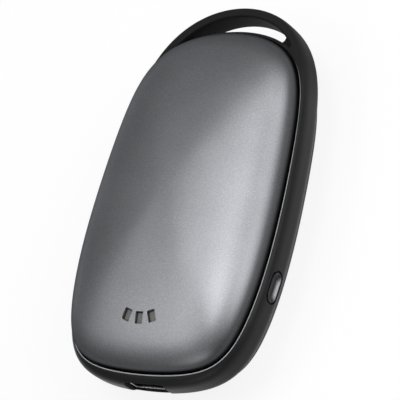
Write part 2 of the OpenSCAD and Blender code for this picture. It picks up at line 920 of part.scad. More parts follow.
module switch_plunger() {
    color([0.85, 0.84, 0.8]) placed() at_key() translate([switch_front - plunger_depth, 0, 0])
        toward_side() cylinder(plunger_depth + plunger_reach, plunger_radius, plunger_radius);
}

// Heating films, foam pads and the heat sensor

// Film under the crown of a cover
module heating_film(cap_share) {
    outer = dome_rings(cover_wall, cap_share, film_count);
    inner = dome_rings(cover_wall + film_thickness, cap_share, film_count);
    stacked(concat(outer, reversed(inner)));
}

// Foam between the cell and a film
module foam_pad(cap_share) {
    intersection() {
        translate([0, cell_middle, cell_thickness / 2])
            block(foam_width, foam_length, dome_rise + edge_height);
        film_room(cap_share);
    }
}

module front_heater() {
    color([0.72, 0.45, 0.15]) placed() heating_film(front_cap_share);
}

module rear_heater() {
    color([0.72, 0.45, 0.15]) placed() mirror([0, 0, 1]) heating_film(rest_cap_share);
}

module front_foam() {
    color([0.16, 0.16, 0.17]) placed() foam_pad(front_cap_share);
}

module rear_foam() {
    color([0.16, 0.16, 0.17]) placed() mirror([0, 0, 1]) foam_pad(rest_cap_share);
}

// Room under the film of a cover
module film_room(cap_share) {
    dome_core(cover_wall + film_thickness, cap_share);
}

wire_radius = 0.4;
wire_spacing = 0.9;
lead_hole_radius = 1.6;

// Two upright leads from a height up to the film
module film_leads(x, low, cap_share) {
    intersection() {
        for (side = [-1, 1])
            translate([x + side * wire_spacing, socket_y, low])
                cylinder(edge_height + dome_rise, wire_radius, wire_radius);
        film_room(cap_share);
    }
}

// Leads of the front film, up from their socket on the board
module front_heater_leads() {
    color([0.85, 0.85, 0.85]) placed()
        film_leads(-rear_lead_x, socket_wall - board_drop, front_cap_share);
}

// Leads of the rear film, down from the board through the tray
module rear_heater_leads() {
    color([0.85, 0.85, 0.85]) placed()
        mirror([0, 0, 1]) film_leads(rear_lead_x, board_drop, rest_cap_share);
}

sensor_radius = 1;
sensor_low = 11.5;
sensor_x = -5.2;

// Bead under the front film with its two legs down to the board
module heat_sensor() {
    color([0.6, 0.35, 0.1]) placed() intersection() {
        translate([sensor_x, socket_y, 0]) {
            translate([0, 0, sensor_low]) cylinder(dome_rise, sensor_radius, sensor_radius);
            for (side = [-1, 1])
                translate([side * sensor_radius / 2, 0, -board_drop])
                    cylinder(sensor_low + 2 * board_drop, wire_radius / 2, wire_radius / 2);
        }
        film_room(front_cap_share);
    }
}

front_cover();
rear_cover();
mid_frame();
tray();
light_guide();
indicator_diodes();
circuit_board();
outlet_shell();
outlet_tongue();
outlet_contacts();
inlet_shell();
inlet_tongue();
power_button();
switch_body();
switch_plunger();
control_chip();
chip_pins();
power_inductor();
inductor_winding();
capacitors();
board_resistors();
lead_sockets();
battery_cell();
end_board();
cell_tabs();
battery_leads();
front_heater();
rear_heater();
front_heater_leads();
rear_heater_leads();
front_foam();
rear_foam();
heat_sensor();
board_screws();
tray_screws();
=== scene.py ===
import math

import bmesh
import bpy
import numpy as np
from bpy.props import FloatProperty, FloatVectorProperty, IntProperty, PointerProperty
from mathutils import Matrix, Vector


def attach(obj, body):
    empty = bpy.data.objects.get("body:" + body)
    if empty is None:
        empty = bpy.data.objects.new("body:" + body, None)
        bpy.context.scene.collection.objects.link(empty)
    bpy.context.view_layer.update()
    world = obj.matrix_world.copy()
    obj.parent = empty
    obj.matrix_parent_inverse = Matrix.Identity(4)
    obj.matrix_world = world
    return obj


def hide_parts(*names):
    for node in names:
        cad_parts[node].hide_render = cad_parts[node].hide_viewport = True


bl_info = {
    "name": "Rechargeable Hand Warmer",
    "version": (1, 0, 0),
    "blender": (4, 5, 0),
    "location": "View3D > Sidebar > Hand Warmer",
    "description": "Builds a hand warmer with metal covers, a carrying loop and its studio",
    "category": "Object",
}

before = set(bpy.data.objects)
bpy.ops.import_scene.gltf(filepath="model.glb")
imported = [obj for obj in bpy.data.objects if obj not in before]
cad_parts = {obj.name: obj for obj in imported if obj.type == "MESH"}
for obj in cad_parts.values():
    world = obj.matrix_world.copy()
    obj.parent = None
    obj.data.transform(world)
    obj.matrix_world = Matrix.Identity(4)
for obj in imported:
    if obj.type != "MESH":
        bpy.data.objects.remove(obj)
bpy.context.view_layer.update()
MM = 0.001
UP = np.array([0, 0, 1])
TO_LOOP = np.array([0, 1, 0])

# Shape of the oval outline, as shares of its half width and half length
SIDE_SHARE = 0.24
CORNER_SHARE = 0.3
SHOULDER_SHARE = 0.11
PINCH_SHARE = 0.145
CROWN_SHARE = 0.197

# Flat caps of the solids' domes, as shares of the outline, and the share of the side walls'
# swell that is left at the loop's top
FRONT_CAP_SHARE = 0.1
REST_CAP_SHARE = 0.26
SWELL_TOP_SHARE = 0.25

# Sides of the loop's hollow, as turns round the outline in degrees, and the steps at each
# end of the hollow where the web has no gap
STRAP_SIDE = (61, 119)
RING_SIDE = (66, 114)
WEB_STEPS = 16

# Turns of the windows and their lenses about the middle of their fan
WINDOW_TURNS = [math.radians(turn) for turn in (-18.5, 0, 18.5)]

# The cutters of the wall's openings start outside the wall and end inside the covers'
# outline, and other cutters run a little past what they cut
CUT_START = 3 * MM
CUT_END = 6 * MM
CUT_PAST = 1 * MM

# Counts of rings, rows, steps and points on the surfaces
DOME_RINGS = 72
DISH_RINGS = 40
CORNER_ROWS = 4
FACE_ROWS = 10
EDGE_ROWS = 7
WALL_ROWS = 16
HOLLOW_STEPS = 96
WINDOW_POINTS = 48

# Softboxes: name, turn round the part and height in degrees, width and length in metres,
# and power in watts
SOFTBOXES = [
    ("top_softbox", 100, 80, (0.35, 0.35), 1.9),
    ("side_softbox", 98, 38, (0.35, 0.7), 3.3),
    ("corner_softbox", 135, 35, (0.4, 0.4), 1.7),
    ("rear_softbox", 170, 70, (0.4, 0.4), 1.0),
    ("low_rear_softbox", 160, 45, (0.4, 0.4), 0.65),
    ("left_softbox", -120, 70, (0.4, 0.4), 1.05),
    ("low_left_softbox", -58, 60, (0.4, 0.4), 1.2),
    ("front_softbox", 0, 30, (0.6, 0.4), 1.5),
]


def length_of(name, description, default, low=0.0, high=0.2):
    """A length property in metres."""
    return FloatProperty(name=name, description=description, default=default, min=low,
                         max=high, unit="LENGTH", precision=5)


def colour_of(name, description, default):
    """A linear colour property."""
    return FloatVectorProperty(name=name, description=description, default=default, size=3,
                               min=0.0, max=1.0, subtype="COLOR")


class WarmerSizes(bpy.types.PropertyGroup):
    """Sizes of the hand warmer, as in its solids."""
    half_width: length_of("Half width", "Half the width of a cover", 31.7 * MM)
    half_length: length_of("Half length", "Half the length of a cover", 52.4 * MM)
    cover_wall: length_of("Cover wall", "Wall of a cover", 1.2 * MM)
    edge_height: length_of("Edge height", "Height of the dome's edge", 5.4 * MM)
    dome_rise: length_of("Dome rise", "Rise of the dome over its edge", 11.4 * MM)
    skirt_depth: length_of("Skirt depth", "Depth of the skirt in the groove", 2.0 * MM)
    band_depth: length_of("Band depth", "Depth of the band", 9.0 * MM)
    rim_gap: length_of("Rim gap", "From the cover's side to the band's edge", 0.8 * MM)
    side_swell: length_of("Side swell", "Swell of the band's side walls", 1.4 * MM)
    end_swell: length_of("End swell", "Swell of the band's end wall", 3.0 * MM)
    groove_gap: length_of("Groove gap", "Open width of the groove", 0.25 * MM)
    edge_land: length_of("Edge land", "Width of the band's flat edge", 0.15 * MM)
    edge_chamfer: length_of("Edge rounding", "Height of the rounded edge", 0.3 * MM)
    lip_slope: length_of("Lip slope", "Height of the lip's slope", 0.6 * MM)
    rib_wall: length_of("Rib wall", "Wall of the rib", 1.2 * MM)
    rib_drop: length_of("Rib drop", "From the band's edge to the rib", 0.6 * MM)
    rib_clearance: length_of("Rib clearance", "From the skirt to the rib", 0.15 * MM)
    loop_rise: length_of("Loop rise", "Rise of the loop over the outline", 8.5 * MM)
    loop_depth: length_of("Loop depth", "Depth of the strap at its top", 7.2 * MM)
    strap_width: length_of("Strap width", "Width of the loop's strap", 2.6 * MM)
    ring_width: length_of("Ring width", "Width of the ring under the loop", 1.5 * MM)
    web_thickness: length_of("Web thickness", "Thickness of the shoulder webs", 2.0 * MM)
    window_width: length_of("Window width", "Width of a light window", 2.5 * MM)
    window_length: length_of("Window length", "Length of a light window", 3.3 * MM)
    window_fan: length_of("Window fan", "Radius of the windows' fan", 13.3 * MM)
    window_rise: length_of("Window rise", "From the end to the windows", 13.3 * MM)
    lens_clearance: length_of("Lens clearance", "Gap round a lens", 0.1 * MM)
    lens_depth: length_of("Lens depth", "Depth of a lens in its window", 1.0 * MM)
    outlet_width: length_of("Outlet width", "Width of the outlet's shell", 13.1 * MM)
    outlet_height: length_of("Outlet height", "Height of the outlet's shell", 5.7 * MM)
    outlet_length: length_of("Outlet length", "Length of the outlet's shell", 13.2 * MM)
    outlet_sheet: length_of("Outlet sheet", "Sheet of the outlet's shell", 0.3 * MM)
    outlet_corner: length_of("Outlet corner", "Corner radius of the outlet", 0.5 * MM)
    outlet_recess: length_of("Outlet recess", "Depth of the shell's edge", 1.6 * MM)
    socket_clearance: length_of("Socket clearance", "Gap round a socket", 0.2 * MM)
    inlet_width: length_of("Inlet width", "Width of the inlet's shell", 8.94 * MM)
    inlet_height: length_of("Inlet height", "Height of the inlet's shell", 3.26 * MM)
    inlet_length: length_of("Inlet length", "Length of the inlet's shell", 7.4 * MM)
    inlet_sheet: length_of("Inlet sheet", "Sheet of the inlet's shell", 0.25 * MM)
    inlet_recess: length_of("Inlet recess", "Depth of the shell's edge", 0.6 * MM)
    board_drop: length_of("Board drop", "From the middle to the board", 0.8 * MM)
    key_length: length_of("Key length", "Length of the button's key", 8.8 * MM)
    key_width: length_of("Key width", "Width of the button's key", 4.2 * MM)
    key_lip: length_of("Key rim", "Width of the flat rim round the finger dish", 0.25 * MM)
    key_dish: length_of("Key dish", "Depth of the finger dish in the key", 1.2 * MM)
    key_clearance: length_of("Key clearance", "Gap round the key", 0.15 * MM)
    key_step: length_of("Key step", "Width of the step round the key", 0.35 * MM)
    key_sink: length_of("Key sink", "Depth of the step round the key", 0.7 * MM)
    key_angle: FloatProperty(name="Key angle", description="Place of the button on the oval",
                             default=math.radians(-13.2), subtype="ANGLE")
    outline_points: IntProperty(name="Outline points", description="Points round the outline",
                                default=480, min=96, max=960)


class WarmerColours(bpy.types.PropertyGroup):
    """Colours of the hand warmer's finishes."""
    cover: colour_of("Cover", "Satin metal of the covers", (0.29, 0.296, 0.312))
    # Painted shade: the covers' coat darkens toward these colours at their rims
    front_rim_painted_shade: colour_of("Front rim", "Rim of the front cover", (0.03, 0.0305, 0.0325))
    rear_rim_painted_shade: colour_of("Rear rim", "Rim of the rear cover", (0.11, 0.112, 0.118))
    band: colour_of("Band", "Plastic of the band", (0.009, 0.009, 0.0094))
    # Painted highlight: a thin light line along the band's front and rear edges
    band_painted_highlight: colour_of("Worn edges", "Edges of the band", (0.43, 0.43, 0.45))
    key: colour_of("Key", "Plastic of the button", (0.005, 0.005, 0.0052))
    # Painted highlight on the lower slope of the key's finger dish
    key_painted_highlight: colour_of("Worn slope", "Lower slope of the finger dish", (0.38, 0.38, 0.4))
    lens: colour_of("Lens", "Plastic of the light guide", (0.11, 0.108, 0.1))
    nickel: colour_of("Nickel", "Plating of sheet metal pieces", (0.55, 0.56, 0.58))
    tongue: colour_of("Tongue", "Plastic inside the sockets", (0.012, 0.012, 0.013))


class StudioSettings(bpy.types.PropertyGroup):
    """Camera and light of the studio."""
    azimuth: FloatProperty(name="Azimuth", description="Turn of the camera round the part",
                           default=math.radians(62.06), subtype="ANGLE")
    elevation: FloatProperty(name="Elevation", description="Height of the camera as an angle",
                             default=math.radians(49.09), subtype="ANGLE")
    roll: FloatProperty(name="Roll", description="Turn of the camera about its own axis",
                        default=math.radians(-53.22), subtype="ANGLE")
    distance: FloatProperty(name="Distance", description="Distance of the camera",
                            default=0.7, unit="LENGTH")
    lens: FloatProperty(name="Lens", description="Focal length in millimetres",
                        default=219.2)
    aim: FloatVectorProperty(name="Aim", description="Point in the middle of the picture",
                             default=(0.00055, -0.00109, 0.01673), size=3, subtype="XYZ")
    world_light: FloatProperty(name="World light", description="Strength of the plain light",
                               default=0.24, min=0.0, max=2.0)
    lamp_power: FloatProperty(name="Lamp power", description="Share of the softboxes' power",
                              default=1.0, min=0.0, max=4.0)
    floor_glow: FloatProperty(name="Floor glow", description="Share of plain white in the floor",
                              default=0.85, min=0.0, max=1.0, subtype="FACTOR")
    floor_colour: colour_of("Floor", "Colour of the floor", (0.9, 0.9, 0.9))


def sizes_now():
    """The sizes that the scene holds."""
    return bpy.context.scene.warmer_sizes


def colours_now():
    """The colours that the scene holds."""
    return bpy.context.scene.warmer_colours


# Outline


def oval(s, turn):
    """Points of the cover's outline: a cosine across, widened by powers of the sine toward
    the corners, and a sine along, pinched at the ends and bowed by the squared cosine."""
    sine, cosine = np.sin(turn), np.cos(turn)
    across = 1 + SIDE_SHARE * sine ** 2 + SHOULDER_SHARE * sine ** 3 + CORNER_SHARE * sine ** 4
    along = (1 + PINCH_SHARE) * sine - PINCH_SHARE * sine ** 3 - CROWN_SHARE * cosine ** 2
    return np.stack([s.half_width * cosine * across, s.half_length * along], -1)


def outward(line, turn):
    """Unit normal of a line at each angle, from a small difference along it."""
    step = math.radians(1)
    along = line(turn + step) - line(turn - step)
    normal = np.stack([along[..., 1], -along[..., 0]], -1)
    return normal / np.linalg.norm(normal, axis=-1, keepdims=True)


def cover_line(s, turn, out=0.0):
    """The outline moved out along its normal by a distance."""
    distance = np.asarray(out)[..., None]
    return oval(s, turn) + distance * outward(lambda t: oval(s, t), turn)


def loop_share(turn):
    """Share of the loop: the fourth power of the sine, from nothing at the widest line to
    all at the top, and nothing below the widest line."""
    return np.maximum(0, np.sin(turn)) ** 4


def edge_line(s, turn):
    """The band's edge: the outline moved out by the rim gap and drawn up into the loop."""
    line = cover_line(s, turn, np.full(np.shape(turn), s.rim_gap))
    rise = s.loop_rise * loop_share(turn)
    return line + np.stack([np.zeros_like(rise), rise], -1)


def wall_line(s, turn, out=0.0):
    """The band's edge moved out along its own normal by a distance."""
    distance = np.asarray(out)[..., None]
    return edge_line(s, turn) + distance * outward(lambda t: edge_line(s, t), turn)


def full_swell(s, turn):
    """Swell of the wall halfway up: it eases toward the loop with the squared sine and
    grows toward the outlet's end with the fourth power of the sine."""
    top = (1 - SWELL_TOP_SHARE) * np.maximum(0, np.sin(turn)) ** 2
    end = np.maximum(0, -np.sin(turn)) ** 4
    return s.side_swell * (1 - top) + (s.end_swell - s.side_swell) * end


def wall_share(s, height):
    """Share of the swell at a height: the rest of the fourth power of the height's share of
    half the band's depth, so the wall is flat in the middle and round toward its edges."""
    return 1 - (height / (s.band_depth / 2)) ** 4


def depth_share(s, turn):
    """Depth of the loop as a share of the band's depth."""
    return 1 - (1 - s.loop_depth / s.band_depth) * loop_share(turn)


def turns(count):
    """Angles all round, evenly spaced."""
    return np.arange(count) * (2 * math.pi / count)


def cap_height(s):
    """Height of the rear cover's flat cap over the middle: the edge's height plus the rise
    times the sine of the angle at which the dome is as wide as the cap."""
    return s.edge_height + s.dome_rise * math.sin(math.acos(REST_CAP_SHARE))


def part_place(points):
    """Moves points from the cover's own frame, middle at zero, into the part's frame, whose
    zero is in the middle of the part's length and on the floor."""
    s = sizes_now()
    shift = (s.end_swell - s.loop_rise - s.side_swell * SWELL_TOP_SHARE) / 2
    return points + np.array([0, shift, cap_height(s)])


# Meshes


def ring_faces(rings, count, closed):
    """Quads between neighbouring rings of as many points each."""
    i = np.arange(rings if closed else rings - 1)[:, None]
    j = np.arange(count)[None, :]
    i2, j2 = (i + 1) % rings, (j + 1) % count
    quads = np.stack([i * count + j, i * count + j2, i2 * count + j2, i2 * count + j], -1)
    return quads.reshape(-1, 4)


def mesh_object(name, shells, merge=1e-7):
    """Mesh object from shells of rings. A shell is (rings, closed): closed shells join their
    last ring to the first, open ones get a flat cap on each end ring. Points closer than
    the merge distance become one."""
    points, faces, start = [], [], 0
    for rings, closed in shells:
        count = rings.shape[1]
        points.append(rings.reshape(-1, 3))
        faces += (ring_faces(len(rings), count, closed) + start).tolist()
        if not closed:
            faces.append((np.arange(count)[::-1] + start).tolist())
            faces.append((np.arange(count) + start + (len(rings) - 1) * count).tolist())
        start += rings.shape[0] * count
    mesh = bpy.data.meshes.new(name)
    mesh.from_pydata(np.concatenate(points).tolist(), [], faces)
    tidy = bmesh.new()
    tidy.from_mesh(mesh)
    bmesh.ops.remove_doubles(tidy, verts=tidy.verts, dist=merge)
    bmesh.ops.recalc_face_normals(tidy, faces=tidy.faces)
    tidy.to_mesh(mesh)
    tidy.free()
    thing = bpy.data.objects.new(name, mesh)
    bpy.context.scene.collection.objects.link(thing)
    return thing


def carve(thing, cutters):
    """Cuts closed shapes out of a piece, one after the other, and removes them."""
    for cutter in cutters:
        cut = thing.modifiers.new("cut", "BOOLEAN")
        cut.operation = "DIFFERENCE"
        cut.solver = "MANIFOLD"
        cut.object = cutter
        view = bpy.context.evaluated_depsgraph_get()
        result = bpy.data.meshes.new_from_object(thing.evaluated_get(view))
        thing.modifiers.clear()
        old = thing.data
        thing.data = result
        bpy.data.meshes.remove(old)
        bpy.data.meshes.remove(cutter.data)
    if not len(thing.data.polygons):
        raise RuntimeError(f"nothing is left of {thing.name}")


def smooth(thing, crease=math.radians(32)):
    """Smooth shading with creases where faces meet at more than an angle."""
    mesh = thing.data
    mesh.polygons.foreach_set("use_smooth", np.ones(len(mesh.polygons), bool))
    mesh.set_sharp_from_angle(angle=crease)
    mesh.update()


def dress(thing, material, slot, body, *nodes):
    """Gives a piece its finish and its body, and hides the solids that it stands for. The slot is
    not used.
    """
    thing.data.materials.clear()
    thing.data.materials.append(material)
    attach(thing, body)
    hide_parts(*nodes)


def rounding(radius, count=6):
    """Pairs of offset and depth along a rounded mouth: a quarter circle from the face,
    at full offset and no depth, to the wall, at no offset and full depth."""
    angle = np.linspace(0, math.pi / 2, count)
    return list(zip(radius * (1 - np.sin(angle)), radius * (1 - np.cos(angle))))


# Covers


def crown_rise(s):
    """Rise of the front cover's smooth dome, which ends at the height of the solid's flat
    cap: the rise times the sine of the angle at which the dome is as wide as the cap."""
    return s.dome_rise * math.sin(math.acos(FRONT_CAP_SHARE))


def dome_height(s, x, y):
    """Height of the front dome over a point: the point's share of the outline in its
    direction is the cosine of the dome's angle, and the rise is multiplied by its sine."""
    places = 1441
    line = oval(s, np.linspace(-math.pi, math.pi, places))
    polar = np.unwrap(np.arctan2(line[:, 1], line[:, 0]))
    middle = polar[places // 2]
    wanted = np.arctan2(y, x)
    wanted = middle + (wanted - middle + math.pi) % (2 * math.pi) - math.pi
    reach = np.interp(wanted, polar, np.linalg.norm(line, axis=1))
    share = np.clip(np.hypot(x, y) / reach, 0, 1)
    return s.edge_height + crown_rise(s) * np.sqrt(1 - share ** 2)


def dome_rings(s, depth, rise, angles):
    """Rings of a dome: the outline moved in by the depth and shrunk by the cosine of the
    angle, at the edge's height plus the rise, less the depth, times its sine."""
    line = cover_line(s, turns(s.outline_points), np.full(s.outline_points, -depth))
    plan = line[None, :, :] * np.cos(angles)[:, None, None]
    height = s.edge_height + (rise - depth) * np.sin(angles)
    level = np.broadcast_to(height[:, None, None], (*plan.shape[:2], 1))
    return np.concatenate([plan, level], -1)


def cover_rings(s, rise):
    """Shell of a cover: outer dome down to the skirt's edge and the inner dome back up."""
    angles = np.linspace(math.pi / 2, 0, DOME_RINGS)
    outer = dome_rings(s, 0.0, rise, angles)
    inner = dome_rings(s, s.cover_wall, rise, angles)
    skirt = np.array([0, 0, -s.skirt_depth])
    return np.concatenate([outer, outer[-1:] + skirt, inner[-1:] + skirt, inner[::-1]])


def window_rings(s, width, length, corner, levels, turn):
    """Rings of a window: a rectangle with rounded corners, turned about the middle of the
    fan, moved out by an offset, at a depth under the dome. A level is an offset and a depth."""
    angle = turns(WINDOW_POINTS) + math.pi / WINDOW_POINTS
    cx = np.sign(np.cos(angle)) * (width / 2 - corner)
    cy = np.sign(np.sin(angle)) * (length / 2 - corner)
    fan_y = s.window_rise - s.half_length + s.window_fan
    rings = []
    for offset, depth in levels:
        x = cx + (corner + offset) * np.cos(angle)
        y = cy + (corner + offset) * np.sin(angle) - s.window_fan
        px = x * math.cos(turn) - y * math.sin(turn)
        py = x * math.sin(turn) + y * math.cos(turn) + fan_y
        rings.append(np.stack([px, py, dome_height(s, px, py) - depth], -1))
    return np.array(rings)


def build_front_cover():
    """Front cover with its three windows."""
    s = sizes_now()
    cover = mesh_object("front_cover_shell", [(part_place(cover_rings(s, crown_rise(s))), False)])
    mouth = 0.12 * MM
    corner = 0.22 * MM
    levels = [(mouth, -CUT_PAST)] + rounding(mouth) + [(0, s.cover_wall + CUT_PAST)]
    cutters = []
    for turn in WINDOW_TURNS:
        rings = window_rings(s, s.window_width, s.window_length, corner, levels, turn)
        cutters.append(mesh_object("window_cutter", [(part_place(rings), False)]))
    carve(cover, cutters)
    smooth(cover)
    finish = satin_cover_finish("front_satin", colours_now().front_rim_painted_shade)
    dress(cover, finish, "cover_metal", "warmer", "front_cover")


def build_rear_cover():
    """Rear cover: a dome turned over. A smooth minimum of the dome's height and the cap's,
    by the logarithm of a sum of exponentials, eases its crown into a flat cap."""
    s = sizes_now()
    ease = 0.06 * MM
    cap = cap_height(s)
    rings = cover_rings(s, s.dome_rise)
    height = cap - ease * np.logaddexp(0, (cap - rings[..., 2]) / ease)
    height[DOME_RINGS:] = np.minimum(height[DOME_RINGS:], cap - s.cover_wall)
    rings[..., 2] = -height
    cover = mesh_object("rear_cover_shell", [(part_place(rings), False)])
    smooth(cover)
    finish = satin_cover_finish("rear_satin", colours_now().rear_rim_painted_shade)
    dress(cover, finish, "cover_metal", "warmer", "rear_cover")


def guide_block(s, width, length, corner, top, bottom, turn):
    """Straight block of the light guide between two heights, with a window's plan."""
    rings = window_rings(s, width, length, corner, [(0, 0), (0, 0)], turn)
    rings[0, :, 2] = top
    rings[1, :, 2] = bottom
    return part_place(rings), False


def guide_lens(s, base, turn):
    """Lens of the light guide: it fills its window but for a clearance, follows the dome at
    a depth with a rounded edge, and runs straight down to its base."""
    corner = 0.2 * MM
    edge = 0.12 * MM
    width = s.window_width - 2 * s.lens_clearance
    length = s.window_length - 2 * s.lens_clearance
    levels = [(-offset, s.lens_depth + depth) for offset, depth in rounding(edge)]
    rings = window_rings(s, width, length, corner, levels, turn)
    foot = rings[-1:].copy()
    foot[..., 2] = base
    return part_place(np.concatenate([rings, foot])), False


def build_light_guide():
    """Light guide: a lens in each window, a foot over each diode and a bar that joins them."""
    s = sizes_now()
    over_outlet = 0.3 * MM
    base = s.outlet_height / 2 + over_outlet
    foot_width = 1.6 * MM
    foot_length = 0.8 * MM
    foot_corner = 0.1 * MM
    foot_overlap = 0.5 * MM
    foot_low = 0.1 * MM
    bar_width = 12.5 * MM
    bar_corner = 0.3 * MM
    bar_height = 1.5 * MM
    bar_low = 8 * MM
    shells = []
    for turn in WINDOW_TURNS:
        shells.append(guide_lens(s, base, turn))
        shells.append(guide_block(s, foot_width, foot_length, foot_corner,
                                  base + foot_overlap, foot_low, turn))
    shells.append(guide_block(s, bar_width, s.window_length, bar_corner,
                              bar_low + bar_height, bar_low, 0.0))
    guide = mesh_object("light_guide_lenses", shells)
    smooth(guide)
    dress(guide, lens_finish(), "lens_plastic", "warmer", "light_guide")


# Band


def curve_between(start, middle, end, count):
    """Points of a quadratic curve from start to end, drawn toward the middle point."""
    t = np.linspace(0, 1, count)[:, None]
    return (1 - t) ** 2 * start + 2 * t * (1 - t) * middle + t ** 2 * end


def band_profile(s):
    """Rows of the band's section from the rib over the front edge to the middle of the wall.
    A row is the share of the wall line, the distance from the cover's line, the distance from
    the wall line, the share of the swell, and the height. The rows go down the rib, along the
    groove, up the lip's slope, across the face and round the edge by quadratic curves, and
    down the wall at heights that are sines of even steps."""
    half = s.band_depth / 2
    rib_outer = s.cover_wall + s.rib_clearance
    skirt_low = s.edge_height - s.skirt_depth
    rib_top = half - s.rib_drop
    land = s.rim_gap - 2 * s.edge_land
    low = half - s.edge_chamfer
    corner = 0.06 * MM
    rows = [[0, -rib_outer - s.rib_wall, 0, 0, rib_top],
            [0, -rib_outer, 0, 0, rib_top],
            [0, -rib_outer, 0, 0, skirt_low],
            [0, s.groove_gap, 0, 0, skirt_low],
            [0, s.groove_gap, 0, 0, half - s.lip_slope]]
    slope = np.array([0, land - s.groove_gap, 0, 0, s.lip_slope])
    top = np.array([0, land, 0, 0, half])
    face = np.array([0, land + corner, 0, 0, half])
    rows += curve_between(top - slope * corner * 2 / s.lip_slope, top, face,
                          CORNER_ROWS).tolist()
    across = np.linspace(0, 1, FACE_ROWS)[1:-1, None]
    rows += (np.array([0, land + corner, -s.edge_land, 0, half]) + across
             * np.array([1, 0, 0, 0, 0])).tolist()
    rows += curve_between(np.array([1, 0, -s.edge_land, 0, half]),
                          np.array([1, 0, 0, 0, half]),
                          np.array([1, 0, 0, wall_share(s, low), low]), EDGE_ROWS).tolist()
    for height in low * np.sin(np.linspace(math.pi / 2, 0, WALL_ROWS))[1:]:
        rows.append([1, 0, 0, wall_share(s, height), height])
    return np.array(rows)


def band_rings(s):
    """Sections of the band all round: the front half of the profile and its mirror image.
    A point lies between the cover's line and the wall line by its share of the wall line."""
    front = band_profile(s)
    rear = front[-2::-1] * np.array([1, 1, 1, 1, -1])
    rows = np.concatenate([front, rear])
    turn = turns(s.outline_points)[:, None] + np.zeros(len(rows))[None, :]
    wall, near, far, swell, height = (np.broadcast_to(column[None, :], turn.shape)
                                      for column in rows.T)
    swell = swell * full_swell(s, turn)
    plan = (1 - wall)[..., None] * cover_line(s, turn, near)
    plan = plan + wall[..., None] * wall_line(s, turn, far + swell)
    level = height * ((1 - wall) + wall * depth_share(s, turn))
    return np.concatenate([plan, level[..., None]], -1)


def face_height(s, turn, plan):
    """Height of the band's front face over points of the plan: it falls evenly from the ring
    to the strap's outer edge."""
    near = cover_line(s, turn, np.full(turn.shape, s.rim_gap - 2 * s.edge_land))
    far = wall_line(s, turn, np.full(turn.shape, -s.edge_land))
    share = np.linalg.norm(plan - near, axis=-1) / np.linalg.norm(far - near, axis=-1)
    return s.band_depth / 2 * (1 - np.clip(share, 0, 1) * (1 - depth_share(s, turn)))


def hollow_sides(s):
    """Strap side and ring side of the loop's hollow, each with the height of the face: the
    wall line moved in by the strap's width and the cover's line moved out by the ring's."""
    strap_turn = np.radians(np.linspace(*STRAP_SIDE, HOLLOW_STEPS + 1))
    ring_turn = np.radians(np.linspace(*RING_SIDE, HOLLOW_STEPS + 1))
    strap = wall_line(s, strap_turn, np.full(strap_turn.shape, -s.strap_width))
    ring = cover_line(s, ring_turn, np.full(ring_turn.shape, s.ring_width))
    return (np.c_[strap, face_height(s, strap_turn, strap)],
            np.c_[ring, face_height(s, ring_turn, ring)])


def closed_normals(line):
    """Outward unit normals of a closed line that runs counter-clockwise."""
    along = np.roll(line, -1, axis=0) - np.roll(line, 1, axis=0)
    normal = np.stack([along[:, 1], -along[:, 0]], -1)
    return normal / np.linalg.norm(normal, axis=1, keepdims=True)


def hollow_cutter(s, side):
    """Crescent in front of or behind the webs, with a rounded mouth and a rounded floor: the
    hollow's line moved along its normals, at heights from the floor and from the face."""
    strap, ring = hollow_sides(s)
    line = np.concatenate([strap, ring[::-1]])
    normal = closed_normals(line[:, :2])
    mouth = 0.7 * MM
    fillet = 0.3 * MM
    floor = s.web_thickness / 2
    levels = [(-offset, floor + depth, 0) for offset, depth in rounding(fillet)]
    levels += [(offset, -depth, 1) for offset, depth in rounding(mouth)[::-1]]
    levels.append((mouth, CUT_PAST, 1))
    rings = []
    for offset, height, on_face in levels:
        plan = line[:, :2] + offset * normal
        rings.append(np.c_[plan, height + on_face * line[:, 2]])
    rings = np.array(rings)
    rings[..., 2] *= side
    return mesh_object("hollow_cutter", [(part_place(rings), False)])


def round_end(first, last, count=14):
    """Half circle from one point round to another, without the two points themselves."""
    middle, arm = (first + last) / 2, (first - last) / 2
    across = np.array([-arm[1], arm[0]])
    angle = np.linspace(0, math.pi, count)[1:-1, None]
    return middle + arm * np.cos(angle) + across * np.sin(angle)


def gap_cutter(s):
    """Prism through the web with round ends, along the same sides as the hollows."""
    keep = slice(WEB_STEPS, HOLLOW_STEPS + 1 - WEB_STEPS)
    strap, ring = (side[keep, :2] for side in hollow_sides(s))
    line = np.concatenate([strap, round_end(strap[-1], ring[-1]), ring[::-1],
                           round_end(ring[0], strap[0])])
    past = 0.5 * MM
    reach = s.web_thickness / 2 + past
    rings = np.array([np.c_[line, np.full(len(line), z)] for z in (-reach, reach)])
    return mesh_object("gap_cutter", [(part_place(rings), False)])


def side_frame(s, side):
    """Place and axes of the button's frame: middle on the cover's outline, first axis out
    along its normal. The charging inlet's frame is its mirror image."""
    angle = np.array(s.key_angle)
    place = oval(s, angle)
    normal = outward(lambda t: oval(s, t), angle)
    along = np.array([-normal[1], normal[0]])
    flip = np.array([side, 1])
    return place * flip, normal * flip, along * flip


def from_side(s, side, points):
    """Points (out, along, height) of the side frame in the part's frame."""
    place, normal, along = side_frame(s, side)
    plan = place + points[..., 0:1] * normal + points[..., 1:2] * along
    return part_place(np.concatenate([plan, points[..., 2:3]], -1))


def wall_out(s, along, height):
    """Distance of the band's wall from the side frame's origin at a place on the wall: the
    edge's line, looked up near the button, plus the swell times its share at the height."""
    spread = 0.3
    places = 61
    turn = s.key_angle + np.linspace(-spread, spread, places)
    place, normal, tangent = side_frame(s, 1)
    local = edge_line(s, turn) - place
    bulge = np.interp(along, local @ tangent, local @ normal)
    swell = np.interp(along, local @ tangent, full_swell(s, turn))
    return bulge + swell * wall_share(s, height)


def pill(length, width, offset=0.0, lift=0.0, count=96):
    """Line of a pill: two half circles joined by straight sides, moved out by an offset.
    Gives places along and heights."""
    angle = turns(count) + math.pi / count
    run = np.sign(np.cos(angle)) * (length - width) / 2
    radius = width / 2 + offset
    return run + radius * np.cos(angle), lift + radius * np.sin(angle)


